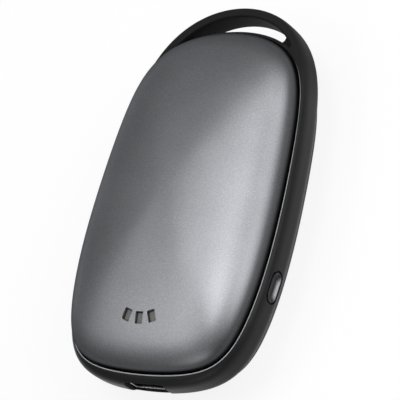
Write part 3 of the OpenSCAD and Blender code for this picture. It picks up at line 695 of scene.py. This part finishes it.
def pill_ring(out, length, width, offset=0.0, lift=0.0):
    """Ring of a pill at a distance out, which may differ from point to point."""
    along, height = pill(length, width, offset, lift)
    return np.stack([np.zeros_like(along) + out, along, height], -1)


def wall_mouth(s, length, width, mouth, lift=0.0):
    """Rings of a pill's rounded mouth that follows the side wall, from outside it inward."""
    rings = []
    for offset, depth in [(mouth, -CUT_START)] + rounding(mouth):
        along, height = pill(length, width, offset, lift)
        rings.append(np.stack([wall_out(s, along, height) - depth, along, height], -1))
    return rings


def key_cutter(s):
    """Opening of the button: a rounded mouth that follows the wall, the step and the hole."""
    hole_length = s.key_length + 2 * s.key_clearance
    hole_width = s.key_width + 2 * s.key_clearance
    step_length = hole_length + 2 * s.key_step
    step_width = hole_width + 2 * s.key_step
    mouth = 0.13 * MM
    floor = s.rim_gap + s.side_swell - s.key_sink
    rings = wall_mouth(s, step_length, step_width, mouth)
    rings.append(pill_ring(floor, step_length, step_width))
    rings.append(pill_ring(floor, hole_length, hole_width))
    rings.append(pill_ring(-CUT_END, hole_length, hole_width))
    return mesh_object("key_cutter", [(from_side(s, 1, np.array(rings)), False)])


def inlet_cutter(s):
    """Opening of the charging inlet with a rounded mouth that follows the wall."""
    length = s.inlet_width + 2 * s.socket_clearance
    width = s.inlet_height + 2 * s.socket_clearance
    lift = s.inlet_height / 2 - s.board_drop
    mouth = 0.15 * MM
    rings = wall_mouth(s, length, width, mouth, lift)
    rings.append(pill_ring(-CUT_END, length, width, lift=lift))
    return mesh_object("inlet_cutter", [(from_side(s, -1, np.array(rings)), False)])


def box_line(width, height, corner, offset=0.0, count=64):
    """Rectangle with rounded corners, moved out by an offset. Gives places and heights."""
    angle = turns(count) + math.pi / count
    x = np.sign(np.cos(angle)) * (width / 2 - corner) + (corner + offset) * np.cos(angle)
    z = np.sign(np.sin(angle)) * (height / 2 - corner) + (corner + offset) * np.sin(angle)
    return x, z


def end_out(s, x, height):
    """Place of the band's end wall along Y at a place on it: the edge's line, looked up
    round the outlet's end, less the swell times its share at the height."""
    from_turn, to_turn, places = 240, 300, 121
    turn = np.radians(np.linspace(from_turn, to_turn, places))
    line = edge_line(s, turn)
    swell = np.interp(x, line[:, 0], full_swell(s, turn))
    return np.interp(x, line[:, 0], line[:, 1]) - swell * wall_share(s, height)


def outlet_cutter(s):
    """Opening of the power outlet with a rounded mouth that follows the end wall."""
    width = s.outlet_width + 2 * s.socket_clearance
    height = s.outlet_height + 2 * s.socket_clearance
    mouth = 0.18 * MM
    rings = []
    for offset, depth in [(mouth, -CUT_START)] + rounding(mouth):
        x, z = box_line(width, height, s.outlet_corner, offset)
        rings.append(np.stack([x, end_out(s, x, z) + depth, z], -1))
    x, z = box_line(width, height, s.outlet_corner)
    inner = -s.half_length + s.cover_wall + s.rib_clearance + s.rib_wall + CUT_PAST
    rings.append(np.stack([x, np.full(x.shape, inner), z], -1))
    return mesh_object("outlet_cutter", [(part_place(np.array(rings)), False)])


def build_band():
    """Band with the carrying loop, its gap and the openings in its wall."""
    s = sizes_now()
    band = mesh_object("band_with_loop", [(part_place(band_rings(s)), True)])
    carve(band, [hollow_cutter(s, 1), hollow_cutter(s, -1), gap_cutter(s), key_cutter(s),
                 inlet_cutter(s), outlet_cutter(s)])
    smooth(band)
    dress(band, band_finish(), "black_plastic", "warmer", "mid_frame")


# Button and sockets


def rounded_corner(radius, count=5):
    """Pairs of inset and drop over a quarter round, from the wall to the face."""
    angle = np.linspace(0, math.pi / 2, count)
    return zip(radius * (1 - np.cos(angle)), radius * (1 - np.sin(angle)))


def arc_radius(half_chord, depth):
    """Radius of an arc with a half chord and a depth: the sum of their squares over twice
    the depth."""
    return (half_chord ** 2 + depth ** 2) / (2 * depth)


def dish_depth(s, along, height):
    """Depth of the finger dish at places on the key's face: two arcs, one across the key and
    one along it, turned about each other as on a ring of round section."""
    section = arc_radius(s.key_width / 2 - s.key_lip, s.key_dish)
    sweep = arc_radius(s.key_length / 2 - s.key_lip, s.key_dish)
    reach = sweep - section + np.sqrt(np.maximum(section ** 2 - height ** 2, 0))
    outer = np.sqrt(np.maximum(reach ** 2 - along ** 2, 0))
    return outer - (sweep - s.key_dish)


def key_body_rings(s):
    """Rings of the button under its face: the post, whose end closes to a point, the flange
    and the key's side."""
    point = 0.001 * MM
    post = 2.2 * MM
    post_length = 0.65 * MM
    flange_gap = 0.05 * MM
    flange_thick = 0.8 * MM
    grow = 1.8 * MM
    low = -s.cover_wall - s.rib_clearance - s.rib_wall - flange_gap - flange_thick
    tip = low - post_length
    top = low + flange_thick
    return [pill_ring(tip, post, post, point - post / 2),
            pill_ring(tip, post, post),
            pill_ring(low, post, post),
            pill_ring(low, s.key_length + grow, s.key_width + grow),
            pill_ring(top, s.key_length + grow, s.key_width + grow),
            pill_ring(top, s.key_length, s.key_width)]


def build_button():
    """Button: a pill-shaped key with a finger dish, its flange and its post. The dish lies
    where a ring of round section, as wide as the key inside its rim, sinks into its face."""
    s = sizes_now()
    face_sink = 0.1 * MM
    edge = 0.12 * MM
    closing = 0.002 * MM
    face = s.rim_gap + s.side_swell - face_sink
    rings = key_body_rings(s)
    for inset, drop in rounded_corner(edge):
        rings.append(pill_ring(face - drop, s.key_length, s.key_width, -inset))
    for share in np.sin(np.linspace(0, math.pi / 2, DISH_RINGS)):
        inset = edge + share * (s.key_width / 2 - edge)
        along, height = pill(s.key_length, s.key_width, -inset)
        depth = np.maximum(dish_depth(s, along, height), 0)
        rings.append(np.stack([face - depth, along, height], -1))
    shell = from_side(s, 1, np.array(rings))
    button = mesh_object("button_key", [(shell, False)], merge=closing)
    smooth(button)
    dress(button, key_finish(), "black_plastic", "button", "power_button")


def rolled_edge(sheet, count=9):
    """Pairs of inward offset and forward reach over a half circle round the front edge of a
    sheet."""
    angle = np.linspace(0, math.pi, count)
    return list(zip(sheet / 2 * (1 - np.cos(angle)), sheet / 2 * np.sin(angle)))


def outlet_front(s):
    """Place of the outlet shell's front edge along Y, in the cover's own frame."""
    return s.outlet_recess - s.half_length - s.rim_gap - s.end_swell


def outlet_ring(s, offset, y):
    """Ring of the outlet's shell at a place along Y, moved out by an offset."""
    x, z = box_line(s.outlet_width, s.outlet_height, s.outlet_corner, offset)
    return np.stack([x, np.full(x.shape, y), z], -1)


def build_outlet():
    """Shell of the power outlet: a sheet metal tube with a rounded front edge."""
    s = sizes_now()
    front = outlet_front(s)
    back = front + s.outlet_length
    rings = [outlet_ring(s, 0, back)]
    for inset, reach in rolled_edge(s.outlet_sheet):
        rings.append(outlet_ring(s, -inset, front + s.outlet_sheet / 2 - reach))
    rings.append(outlet_ring(s, -s.outlet_sheet, back - s.outlet_sheet))
    shell = mesh_object("outlet_sheet_shell", [(part_place(np.array(rings)), False)])
    smooth(shell)
    dress(shell, outlet_finish(), "steel", "warmer", "outlet_shell")


def build_inlet():
    """Shell of the charging inlet: a pill-shaped sheet metal tube with a rounded edge."""
    s = sizes_now()
    front = s.rim_gap + s.side_swell - s.inlet_recess
    back = front - s.inlet_length
    lift = s.inlet_height / 2 - s.board_drop
    size = (s.inlet_width, s.inlet_height)
    rings = [pill_ring(back, *size, lift=lift)]
    for inset, reach in rolled_edge(s.inlet_sheet):
        rings.append(pill_ring(front - s.inlet_sheet / 2 + reach, *size, -inset, lift))
    rings.append(pill_ring(back + s.inlet_sheet, *size, -s.inlet_sheet, lift))
    shell = mesh_object("inlet_sheet_shell", [(from_side(s, -1, np.array(rings)), False)])
    smooth(shell)
    dress(shell, nickel_finish(), "steel", "warmer", "inlet_shell")


# Finishes


class Finish:
    """A node material under construction. It is ready where the file already holds it."""

    def __init__(self, name):
        name = name + "_finish"
        old = bpy.data.materials.get(name)
        self.ready = old is not None
        self.material = old or bpy.data.materials.new(name)
        if self.ready:
            return
        self.material.use_nodes = True
        self.tree = self.material.node_tree
        self.shader = self.tree.nodes["Principled BSDF"]
        self.place = self.tree.nodes.new("ShaderNodeTexCoord").outputs["Object"]

    def node(self, kind, **values):
        """Adds a node and sets its inputs or properties by name."""
        made = self.tree.nodes.new(kind)
        for name, value in values.items():
            if hasattr(made, name):
                setattr(made, name, value)
            else:
                made.inputs[name.replace("_", " ").title()].default_value = value
        return made

    def link(self, output, target):
        """Links an output to an input."""
        self.tree.links.new(output, target)

    def feed(self, name, output):
        """Links an output to an input of the shader."""
        self.link(output, self.shader.inputs[name])

    def set(self, name, value):
        """Sets an input of the shader to a plain value."""
        self.shader.inputs[name].default_value = value

    def noise(self, size, detail):
        """Noise with grains of a size in metres."""
        noise = self.node("ShaderNodeTexNoise", scale=1 / size, detail=detail)
        self.link(self.place, noise.inputs["Vector"])
        return noise.outputs["Fac"]

    def spread(self, source, given, wanted):
        """Maps a given range of a value onto a wanted one and stops at its ends."""
        ranged = self.node("ShaderNodeMapRange", from_min=given[0], from_max=given[1],
                           to_min=wanted[0], to_max=wanted[1])
        self.link(source, ranged.inputs["Value"])
        return ranged.outputs["Result"]

    def blend(self, factor, first, second):
        """Blends two colours by a factor. The node has sockets for each kind of data under
        the same names, so the colours' sockets are taken by their numbers."""
        mix = self.node("ShaderNodeMix", data_type="RGBA")
        self.link(factor, mix.inputs[0])
        for socket, colour in ((mix.inputs[6], first), (mix.inputs[7], second)):
            if isinstance(colour, bpy.types.NodeSocket):
                self.link(colour, socket)
            else:
                socket.default_value = (*colour, 1)
        return mix.outputs[2]

    def scale(self, colour, factor):
        """Multiplies a colour by a value."""
        scaled = self.node("ShaderNodeVectorMath", operation="SCALE")
        self.link(colour, scaled.inputs[0])
        self.link(factor, scaled.inputs["Scale"])
        return scaled.outputs[0]

    def travel(self, direction, start):
        """Distance of a place from a start along a direction."""
        moved = self.node("ShaderNodeVectorMath", operation="SUBTRACT")
        self.link(self.place, moved.inputs[0])
        moved.inputs[1].default_value = [float(part) for part in start]
        along = self.node("ShaderNodeVectorMath", operation="DOT_PRODUCT")
        self.link(moved.outputs[0], along.inputs[0])
        along.inputs[1].default_value = [float(part) for part in direction]
        return along.outputs["Value"]

    def reach(self, direction, start):
        """Distance of a place from a start along a direction or against it."""
        size = self.node("ShaderNodeMath", operation="ABSOLUTE")
        self.link(self.travel(direction, start), size.inputs[0])
        return size.outputs[0]

    def pair(self, operation, first, second):
        """Joins two values by a calculation, such as a sum or a product."""
        made = self.node("ShaderNodeMath", operation=operation)
        self.link(first, made.inputs[0])
        self.link(second, made.inputs[1])
        return made.outputs[0]

    def bump(self, heights, depth, strength):
        """Bump from a height of a depth in metres."""
        bump = self.node("ShaderNodeBump", strength=strength, distance=depth)
        self.link(heights, bump.inputs["Height"])
        self.feed("Normal", bump.outputs["Normal"])


def tint(colour, share):
    """A colour made lighter or darker by a share."""
    return tuple(min(1.0, part * share) for part in colour)


def moulded_finish(name, colour, roughness, grain, depth=0.01 * MM, metallic=0.0, coat=0.0,
                   cloud=0.12):
    """Finish with slow colour variation, a fine grain in its roughness and a fine bump."""
    finish = Finish(name)
    if finish.ready:
        return finish.material
    slow = finish.noise(12 * MM, detail=3)
    fine = finish.noise(grain, detail=2)
    tone = finish.blend(finish.spread(slow, (0.3, 0.7), (0, 1)), tint(colour, 1 - cloud),
                        tint(colour, 1 + cloud))
    rough = finish.spread(fine, (0.25, 0.75), (roughness * 0.88, roughness * 1.12))
    finish.feed("Base Color", tone)
    finish.feed("Roughness", rough)
    finish.set("Metallic", metallic)
    finish.set("Coat Weight", coat)
    finish.bump(fine, depth, strength=0.5)
    return finish.material


def satin_cover_finish(name, rim_painted_shade):
    """Metallic coat of a cover: grey with fine bright flakes, faint clouding, and painted shade
    that darkens it toward the rim colour from half the dome's rise down to its edge."""
    finish = Finish(name)
    if finish.ready:
        return finish.material
    s = sizes_now()
    slow = finish.noise(22 * MM, detail=2)
    grain = finish.noise(0.3 * MM, detail=1)
    height = finish.reach(UP, part_place(np.zeros(3)))
    # Painted shade: from half the dome's rise down to its edge the coat turns to the darker rim
    # colour
    rim = finish.spread(height, (s.edge_height, s.edge_height + s.dome_rise / 2), (0, 1))
    tone = finish.blend(rim, tuple(rim_painted_shade), tuple(colours_now().cover))
    tone = finish.scale(tone, finish.spread(slow, (0.3, 0.7), (0.94, 1.06)))
    tone = finish.scale(tone, finish.spread(grain, (0.35, 0.75), (0.9, 1.25)))
    finish.feed("Base Color", tone)
    finish.feed("Roughness", finish.spread(grain, (0.25, 0.75), (0.38, 0.46)))
    finish.set("Metallic", 1.0)
    finish.set("Specular Tint", (0.25, 0.25, 0.27, 1))
    finish.bump(grain, 0.006 * MM, strength=0.5)
    return finish.material


def band_finish():
    """Black plastic of the band: satin, duller round the loop, with a fine eroded grain, a few
    lighter rubbed places and a painted highlight along its front and rear edges."""
    finish = Finish("band_plastic")
    if finish.ready:
        return finish.material
    s = sizes_now()
    colour = tuple(colours_now().band)
    slow = finish.noise(9 * MM, detail=4)
    grain = finish.noise(0.18 * MM, detail=2)
    tone = finish.blend(finish.spread(slow, (0.58, 0.75), (0, 1)), colour, tint(colour, 1.35))
    middle = part_place(np.zeros(3))
    half = s.band_depth / 2
    # Painted highlight: a thin light line at the top of the front and rear edges
    highlight_from = half - 0.18 * s.edge_chamfer
    painted_highlight = finish.spread(finish.reach(UP, middle), (highlight_from, half), (0, 1))
    tone = finish.blend(painted_highlight, tone, tuple(colours_now().band_painted_highlight))
    loop_from, loop_full = 0.6 * s.half_length, 0.84 * s.half_length
    loop = finish.spread(finish.travel(TO_LOOP, middle), (loop_from, loop_full), (0, 1))
    tone = finish.blend(loop, tone, colour)
    rough = finish.spread(grain, (0.25, 0.75), (0.34, 0.44))
    duller = finish.spread(loop, (0, 1), (0, 0.3))
    finish.feed("Base Color", tone)
    finish.feed("Roughness", finish.pair("ADD", rough, duller))
    finish.set("Specular IOR Level", 0.17)
    finish.bump(grain, 0.008 * MM, strength=0.5)
    return finish.material


def key_finish():
    """Black plastic of the key, polished in its mould, with faint rubbing, and a painted
    highlight that makes the lower slope of its finger dish lighter."""
    finish = Finish("key_plastic")
    if finish.ready:
        return finish.material
    s = sizes_now()
    colour = tuple(colours_now().key)
    slow = finish.noise(3 * MM, detail=4)
    grain = finish.noise(0.25 * MM, detail=2)
    tone = finish.blend(finish.spread(slow, (0.5, 0.75), (0, 1)), tint(colour, 0.8),
                        tint(colour, 1.4))
    middle = from_side(s, 1, np.zeros(3))
    along = side_frame(s, 1)[2]
    below = finish.travel(-UP, middle)
    aside = finish.reach((*along, 0), middle)
    half = s.key_width / 2
    # Painted highlight: lighter on the dish's lower slope, fading out at its lip and ends
    slope = finish.spread(below, (0.3 * half, 0.66 * half), (0, 1))
    lip = finish.spread(below, (0.78 * half, 0.9 * half), (1, 0))
    ends = finish.spread(aside, (0.2 * s.key_length, 0.42 * s.key_length), (1, 0))
    painted_highlight = finish.pair("MULTIPLY", finish.pair("MULTIPLY", slope, lip), ends)
    tone = finish.blend(painted_highlight, tone, tuple(colours_now().key_painted_highlight))
    finish.feed("Base Color", tone)
    finish.feed("Roughness", finish.spread(slow, (0.3, 0.7), (0.14, 0.2)))
    finish.set("Specular IOR Level", 0.25)
    finish.bump(grain, 0.002 * MM, strength=0.4)
    return finish.material


def outlet_finish():
    """Nickel plating of the outlet's shell, with painted shade: bright at its rim and darkened
    further in.
    """
    finish = Finish("outlet_nickel")
    if finish.ready:
        return finish.material
    bright = tuple(colours_now().nickel)
    rim = part_place(np.array([0, outlet_front(sizes_now()), 0]))
    slow = finish.noise(3 * MM, detail=3)
    fine = finish.noise(0.25 * MM, detail=2)
    # Painted shade: darker from just behind the shell's front edge inward
    painted_inner_shade = finish.spread(finish.travel(TO_LOOP, rim), (0.15 * MM, 0.6 * MM), (0, 1))
    tone = finish.blend(painted_inner_shade, bright, tint(bright, 0.08))
    tone = finish.scale(tone, finish.spread(slow, (0.3, 0.7), (0.92, 1.08)))
    finish.feed("Base Color", tone)
    finish.feed("Roughness", finish.spread(fine, (0.25, 0.75), (0.24, 0.32)))
    finish.set("Metallic", 1.0)
    finish.bump(fine, 0.004 * MM, strength=0.5)
    return finish.material


def nickel_finish():
    """Nickel plating of sheet metal: bright, finely rolled."""
    return moulded_finish("nickel_plate", tuple(colours_now().nickel), roughness=0.28,
                          grain=0.25 * MM, depth=0.004 * MM, metallic=1.0, cloud=0.06)


def lens_finish():
    """Smoky plastic of the light guide, smooth and slightly clouded."""
    return moulded_finish("lens_plastic", tuple(colours_now().lens), roughness=0.38,
                          grain=0.8 * MM, depth=0.004 * MM, cloud=0.15)


def tongue_finish():
    """Black plastic inside the sockets."""
    return moulded_finish("tongue_black", tuple(colours_now().tongue), roughness=0.42,
                          grain=0.3 * MM)


def tray_finish():
    """Dark grey plastic of the tray, with a matt grain."""
    return moulded_finish("tray_plastic", (0.035, 0.035, 0.038), roughness=0.5,
                          grain=0.3 * MM)


def board_finish():
    """Green lacquer of the circuit boards, with a gloss."""
    return moulded_finish("board_lacquer", (0.012, 0.075, 0.03), roughness=0.35,
                          grain=0.5 * MM, coat=0.5)


def chip_finish():
    """Black resin of chips, resistors and the switch."""
    return moulded_finish("chip_black", (0.012, 0.012, 0.014), roughness=0.5,
                          grain=0.15 * MM)


def gold_finish():
    """Gold plating of the contacts."""
    return moulded_finish("gold_plate", (0.75, 0.5, 0.15), roughness=0.25,
                          grain=0.3 * MM, depth=0.003 * MM, metallic=1.0)


def ferrite_finish():
    """Dull, grainy ferrite of the inductor's core."""
    return moulded_finish("ferrite", (0.035, 0.035, 0.037), roughness=0.7,
                          grain=0.1 * MM, depth=0.02 * MM)


def copper_finish():
    """Copper of the inductor's winding."""
    return moulded_finish("copper_wire", (0.55, 0.16, 0.05), roughness=0.3,
                          grain=0.2 * MM, metallic=1.0)


def foil_finish():
    """Slightly creased aluminium foil of the battery cell."""
    return moulded_finish("cell_foil", (0.42, 0.44, 0.48), roughness=0.35,
                          grain=1.5 * MM, depth=0.03 * MM, metallic=1.0)


def red_lead_finish():
    """Red sleeve of the battery leads."""
    return moulded_finish("red_lead", (0.45, 0.012, 0.012), roughness=0.4, grain=0.4 * MM)


def white_lead_finish():
    """White sleeve of the heaters' leads."""
    return moulded_finish("white_lead", (0.7, 0.7, 0.68), roughness=0.4, grain=0.4 * MM)


def nylon_finish():
    """White nylon of the lead sockets and the switch's plunger."""
    return moulded_finish("white_nylon", (0.72, 0.72, 0.66), roughness=0.45,
                          grain=0.3 * MM)


def film_finish():
    """Glossy amber film of the heaters."""
    return moulded_finish("heating_film", (0.35, 0.13, 0.02), roughness=0.25,
                          grain=2 * MM, depth=0.02 * MM, coat=0.6)


def foam_finish():
    """Black foam of the pads, with open pores."""
    return moulded_finish("foam_pad", (0.02, 0.02, 0.022), roughness=0.9,
                          grain=0.25 * MM, depth=0.08 * MM)


def sensor_finish():
    """Glossy amber bead of the heat sensor."""
    return moulded_finish("sensor_bead", (0.3, 0.1, 0.01), roughness=0.25,
                          grain=0.5 * MM, coat=0.5)


def diode_finish():
    """Pale yellow resin of the indicator diodes."""
    return moulded_finish("diode", (0.75, 0.7, 0.42), roughness=0.3, grain=0.3 * MM)


INNER_FINISHES = {
    "tray": tray_finish,
    "indicator_diodes": diode_finish,
    "circuit_board": board_finish,
    "outlet_tongue": tongue_finish,
    "outlet_contacts": gold_finish,
    "inlet_tongue": tongue_finish,
    "switch_body": chip_finish,
    "switch_plunger": nylon_finish,
    "control_chip": chip_finish,
    "chip_pins": nickel_finish,
    "power_inductor": ferrite_finish,
    "inductor_winding": copper_finish,
    "capacitors": nickel_finish,
    "board_resistors": chip_finish,
    "lead_sockets": nylon_finish,
    "battery_cell": foil_finish,
    "end_board": board_finish,
    "cell_tabs": nickel_finish,
    "battery_leads": red_lead_finish,
    "front_heater": film_finish,
    "rear_heater": film_finish,
    "front_heater_leads": white_lead_finish,
    "rear_heater_leads": white_lead_finish,
    "front_foam": foam_finish,
    "rear_foam": foam_finish,
    "heat_sensor": sensor_finish,
    "board_screws": nickel_finish,
    "tray_screws": nickel_finish,
}


def finish_inner_pieces():
    """Gives every solid that stays its own finish."""
    for node, finish in INNER_FINISHES.items():
        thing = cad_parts[node]
        thing.data.materials.clear()
        thing.data.materials.append(finish())


# Studio


def floor_finish(settings):
    """Matt floor that is mostly plain white to the camera and in reflections, and keeps the
    part's shadow."""
    finish = Finish("studio_floor")
    if finish.ready:
        return finish.material
    finish.set("Base Color", (*settings.floor_colour, 1))
    finish.set("Roughness", 0.9)
    finish.set("Specular IOR Level", 0.1)
    ray = finish.node("ShaderNodeLightPath").outputs
    seen = finish.pair("MAXIMUM", ray["Is Camera Ray"], ray["Is Glossy Ray"])
    seen = finish.pair("MAXIMUM", seen, ray["Is Transmission Ray"])
    white = finish.node("ShaderNodeEmission")
    white.inputs["Color"].default_value = (1, 1, 1, 1)
    mix = finish.node("ShaderNodeMixShader")
    finish.link(finish.spread(seen, (0, 1), (0, settings.floor_glow)), mix.inputs[0])
    finish.link(finish.shader.outputs[0], mix.inputs[1])
    finish.link(white.outputs[0], mix.inputs[2])
    finish.link(mix.outputs[0], finish.tree.nodes["Material Output"].inputs["Surface"])
    return finish.material


def build_floor(settings):
    """Pale floor just under the part."""
    reach = 3.0
    drop = 0.05 * MM
    corners = np.array([[-reach, -reach], [reach, -reach], [reach, reach], [-reach, reach]])
    mesh = bpy.data.meshes.new("studio_floor")
    mesh.from_pydata(np.c_[corners, np.full(4, -drop)].tolist(), [], [[0, 1, 2, 3]])
    floor = bpy.data.objects.new("studio_floor", mesh)
    bpy.context.scene.collection.objects.link(floor)
    mesh.materials.append(floor_finish(settings))


def add_softbox(name, turn, height, size, power, distance=1.0):
    """Area lamp that faces the part from a turn, counted from the front to the right, and a
    height, both as angles."""
    lamp = bpy.data.lights.new(name, "AREA")
    lamp.shape = "RECTANGLE"
    lamp.size, lamp.size_y = size
    lamp.energy = power
    thing = bpy.data.objects.new(name, lamp)
    bpy.context.scene.collection.objects.link(thing)
    level = math.cos(height)
    away = Vector((math.sin(turn) * level, -math.cos(turn) * level, math.sin(height)))
    facing = away.to_track_quat("Z", "Y").to_matrix().to_4x4()
    thing.matrix_world = Matrix.Translation(away * distance) @ facing


def build_lights(settings):
    """Soft studio light: a plain world, which the camera sees as white, and softboxes."""
    world = bpy.data.worlds.new("studio_world")
    bpy.context.scene.world = world
    world.use_nodes = True
    tree = world.node_tree
    tree.nodes.clear()
    output = tree.nodes.new("ShaderNodeOutputWorld")
    plain = tree.nodes.new("ShaderNodeBackground")
    plain.inputs["Color"].default_value = (1, 1, 1, 1)
    plain.inputs["Strength"].default_value = settings.world_light
    white = tree.nodes.new("ShaderNodeBackground")
    white.inputs["Color"].default_value = (1, 1, 1, 1)
    seen = tree.nodes.new("ShaderNodeLightPath")
    mix = tree.nodes.new("ShaderNodeMixShader")
    tree.links.new(seen.outputs["Is Camera Ray"], mix.inputs[0])
    tree.links.new(plain.outputs[0], mix.inputs[1])
    tree.links.new(white.outputs[0], mix.inputs[2])
    tree.links.new(mix.outputs[0], output.inputs["Surface"])
    for name, turn, height, size, power in SOFTBOXES:
        add_softbox(name, math.radians(turn), math.radians(height), size,
                    power * settings.lamp_power)


def build_camera(settings):
    """Camera at the photograph's angle: back along a direction from the point in the middle
    of the picture, and turned about its own axis."""
    turn, height = settings.azimuth, settings.elevation
    back = Vector((math.sin(turn) * math.cos(height), -math.cos(turn) * math.cos(height),
                   math.sin(height)))
    right = Vector((0, 0, 1)).cross(back).normalized()
    up = back.cross(right)
    axes = Matrix((right, up, back)).transposed() @ Matrix.Rotation(settings.roll, 3, "Z")
    camera_data = bpy.data.cameras.new("photo_camera")
    camera_data.lens = settings.lens
    camera_data.sensor_width = 36
    camera_data.clip_start = 0.01
    camera = bpy.data.objects.new("photo_camera", camera_data)
    bpy.context.scene.collection.objects.link(camera)
    place = Vector(settings.aim) + back * settings.distance
    camera.matrix_world = Matrix.Translation(place) @ axes.to_4x4()
    bpy.context.scene.camera = camera
    bpy.context.scene.view_settings.view_transform = "Standard"


# Operators


class WARMER_OT_covers(bpy.types.Operator):
    """Build the front cover with its windows, and the rear cover"""
    bl_idname = "warmer.covers"
    bl_label = "Covers"

    def execute(self, context):
        build_front_cover()
        build_rear_cover()
        return {"FINISHED"}


class WARMER_OT_light_guide(bpy.types.Operator):
    """Build the light guide with a lens in each window"""
    bl_idname = "warmer.light_guide"
    bl_label = "Light guide"

    def execute(self, context):
        build_light_guide()
        return {"FINISHED"}


class WARMER_OT_band(bpy.types.Operator):
    """Build the band with the carrying loop and its openings"""
    bl_idname = "warmer.band"
    bl_label = "Band and loop"

    def execute(self, context):
        build_band()
        return {"FINISHED"}


class WARMER_OT_button(bpy.types.Operator):
    """Build the button's key"""
    bl_idname = "warmer.button"
    bl_label = "Button"

    def execute(self, context):
        build_button()
        return {"FINISHED"}


class WARMER_OT_sockets(bpy.types.Operator):
    """Build the metal shells of the outlet and the inlet"""
    bl_idname = "warmer.sockets"
    bl_label = "Sockets"

    def execute(self, context):
        build_outlet()
        build_inlet()
        return {"FINISHED"}


class WARMER_OT_inner(bpy.types.Operator):
    """Give the inner pieces their finishes"""
    bl_idname = "warmer.inner"
    bl_label = "Inner pieces"

    def execute(self, context):
        finish_inner_pieces()
        return {"FINISHED"}


class WARMER_OT_stage(bpy.types.Operator):
    """Build the floor, the lights and the camera"""
    bl_idname = "warmer.stage"
    bl_label = "Studio"

    def execute(self, context):
        settings = context.scene.warmer_studio
        build_floor(settings)
        build_lights(settings)
        build_camera(settings)
        return {"FINISHED"}


class WARMER_PT_panel(bpy.types.Panel):
    """Sizes, colours and steps of the hand warmer"""
    bl_idname = "WARMER_PT_panel"
    bl_label = "Hand Warmer"
    bl_space_type = "VIEW_3D"
    bl_region_type = "UI"
    bl_category = "Hand Warmer"

    def draw(self, context):
        layout = self.layout
        for group in (context.scene.warmer_sizes, context.scene.warmer_colours,
                      context.scene.warmer_studio):
            box = layout.box()
            for name in group.__annotations__:
                box.prop(group, name)
        for step in STEPS:
            layout.operator(step.bl_idname)


GROUPS = [WarmerSizes, WarmerColours, StudioSettings]
STEPS = [WARMER_OT_covers, WARMER_OT_light_guide, WARMER_OT_band, WARMER_OT_button,
         WARMER_OT_sockets, WARMER_OT_inner, WARMER_OT_stage]


def register():
    """Registers the classes and gives the scene its sizes, colours and studio settings."""
    for part in GROUPS + STEPS + [WARMER_PT_panel]:
        bpy.utils.register_class(part)
    bpy.types.Scene.warmer_sizes = PointerProperty(type=WarmerSizes)
    bpy.types.Scene.warmer_colours = PointerProperty(type=WarmerColours)
    bpy.types.Scene.warmer_studio = PointerProperty(type=StudioSettings)


def unregister():
    """Takes the scene's settings and the classes away again."""
    del bpy.types.Scene.warmer_studio
    del bpy.types.Scene.warmer_colours
    del bpy.types.Scene.warmer_sizes
    for part in reversed(GROUPS + STEPS + [WARMER_PT_panel]):
        bpy.utils.unregister_class(part)


def main():
    """Builds the part and its studio step by step."""
    register()
    bpy.ops.warmer.covers()
    bpy.ops.warmer.light_guide()
    bpy.ops.warmer.band()
    bpy.ops.warmer.button()
    bpy.ops.warmer.sockets()
    bpy.ops.warmer.inner()
    bpy.ops.warmer.stage()


if __name__ == "__main__":
    main()
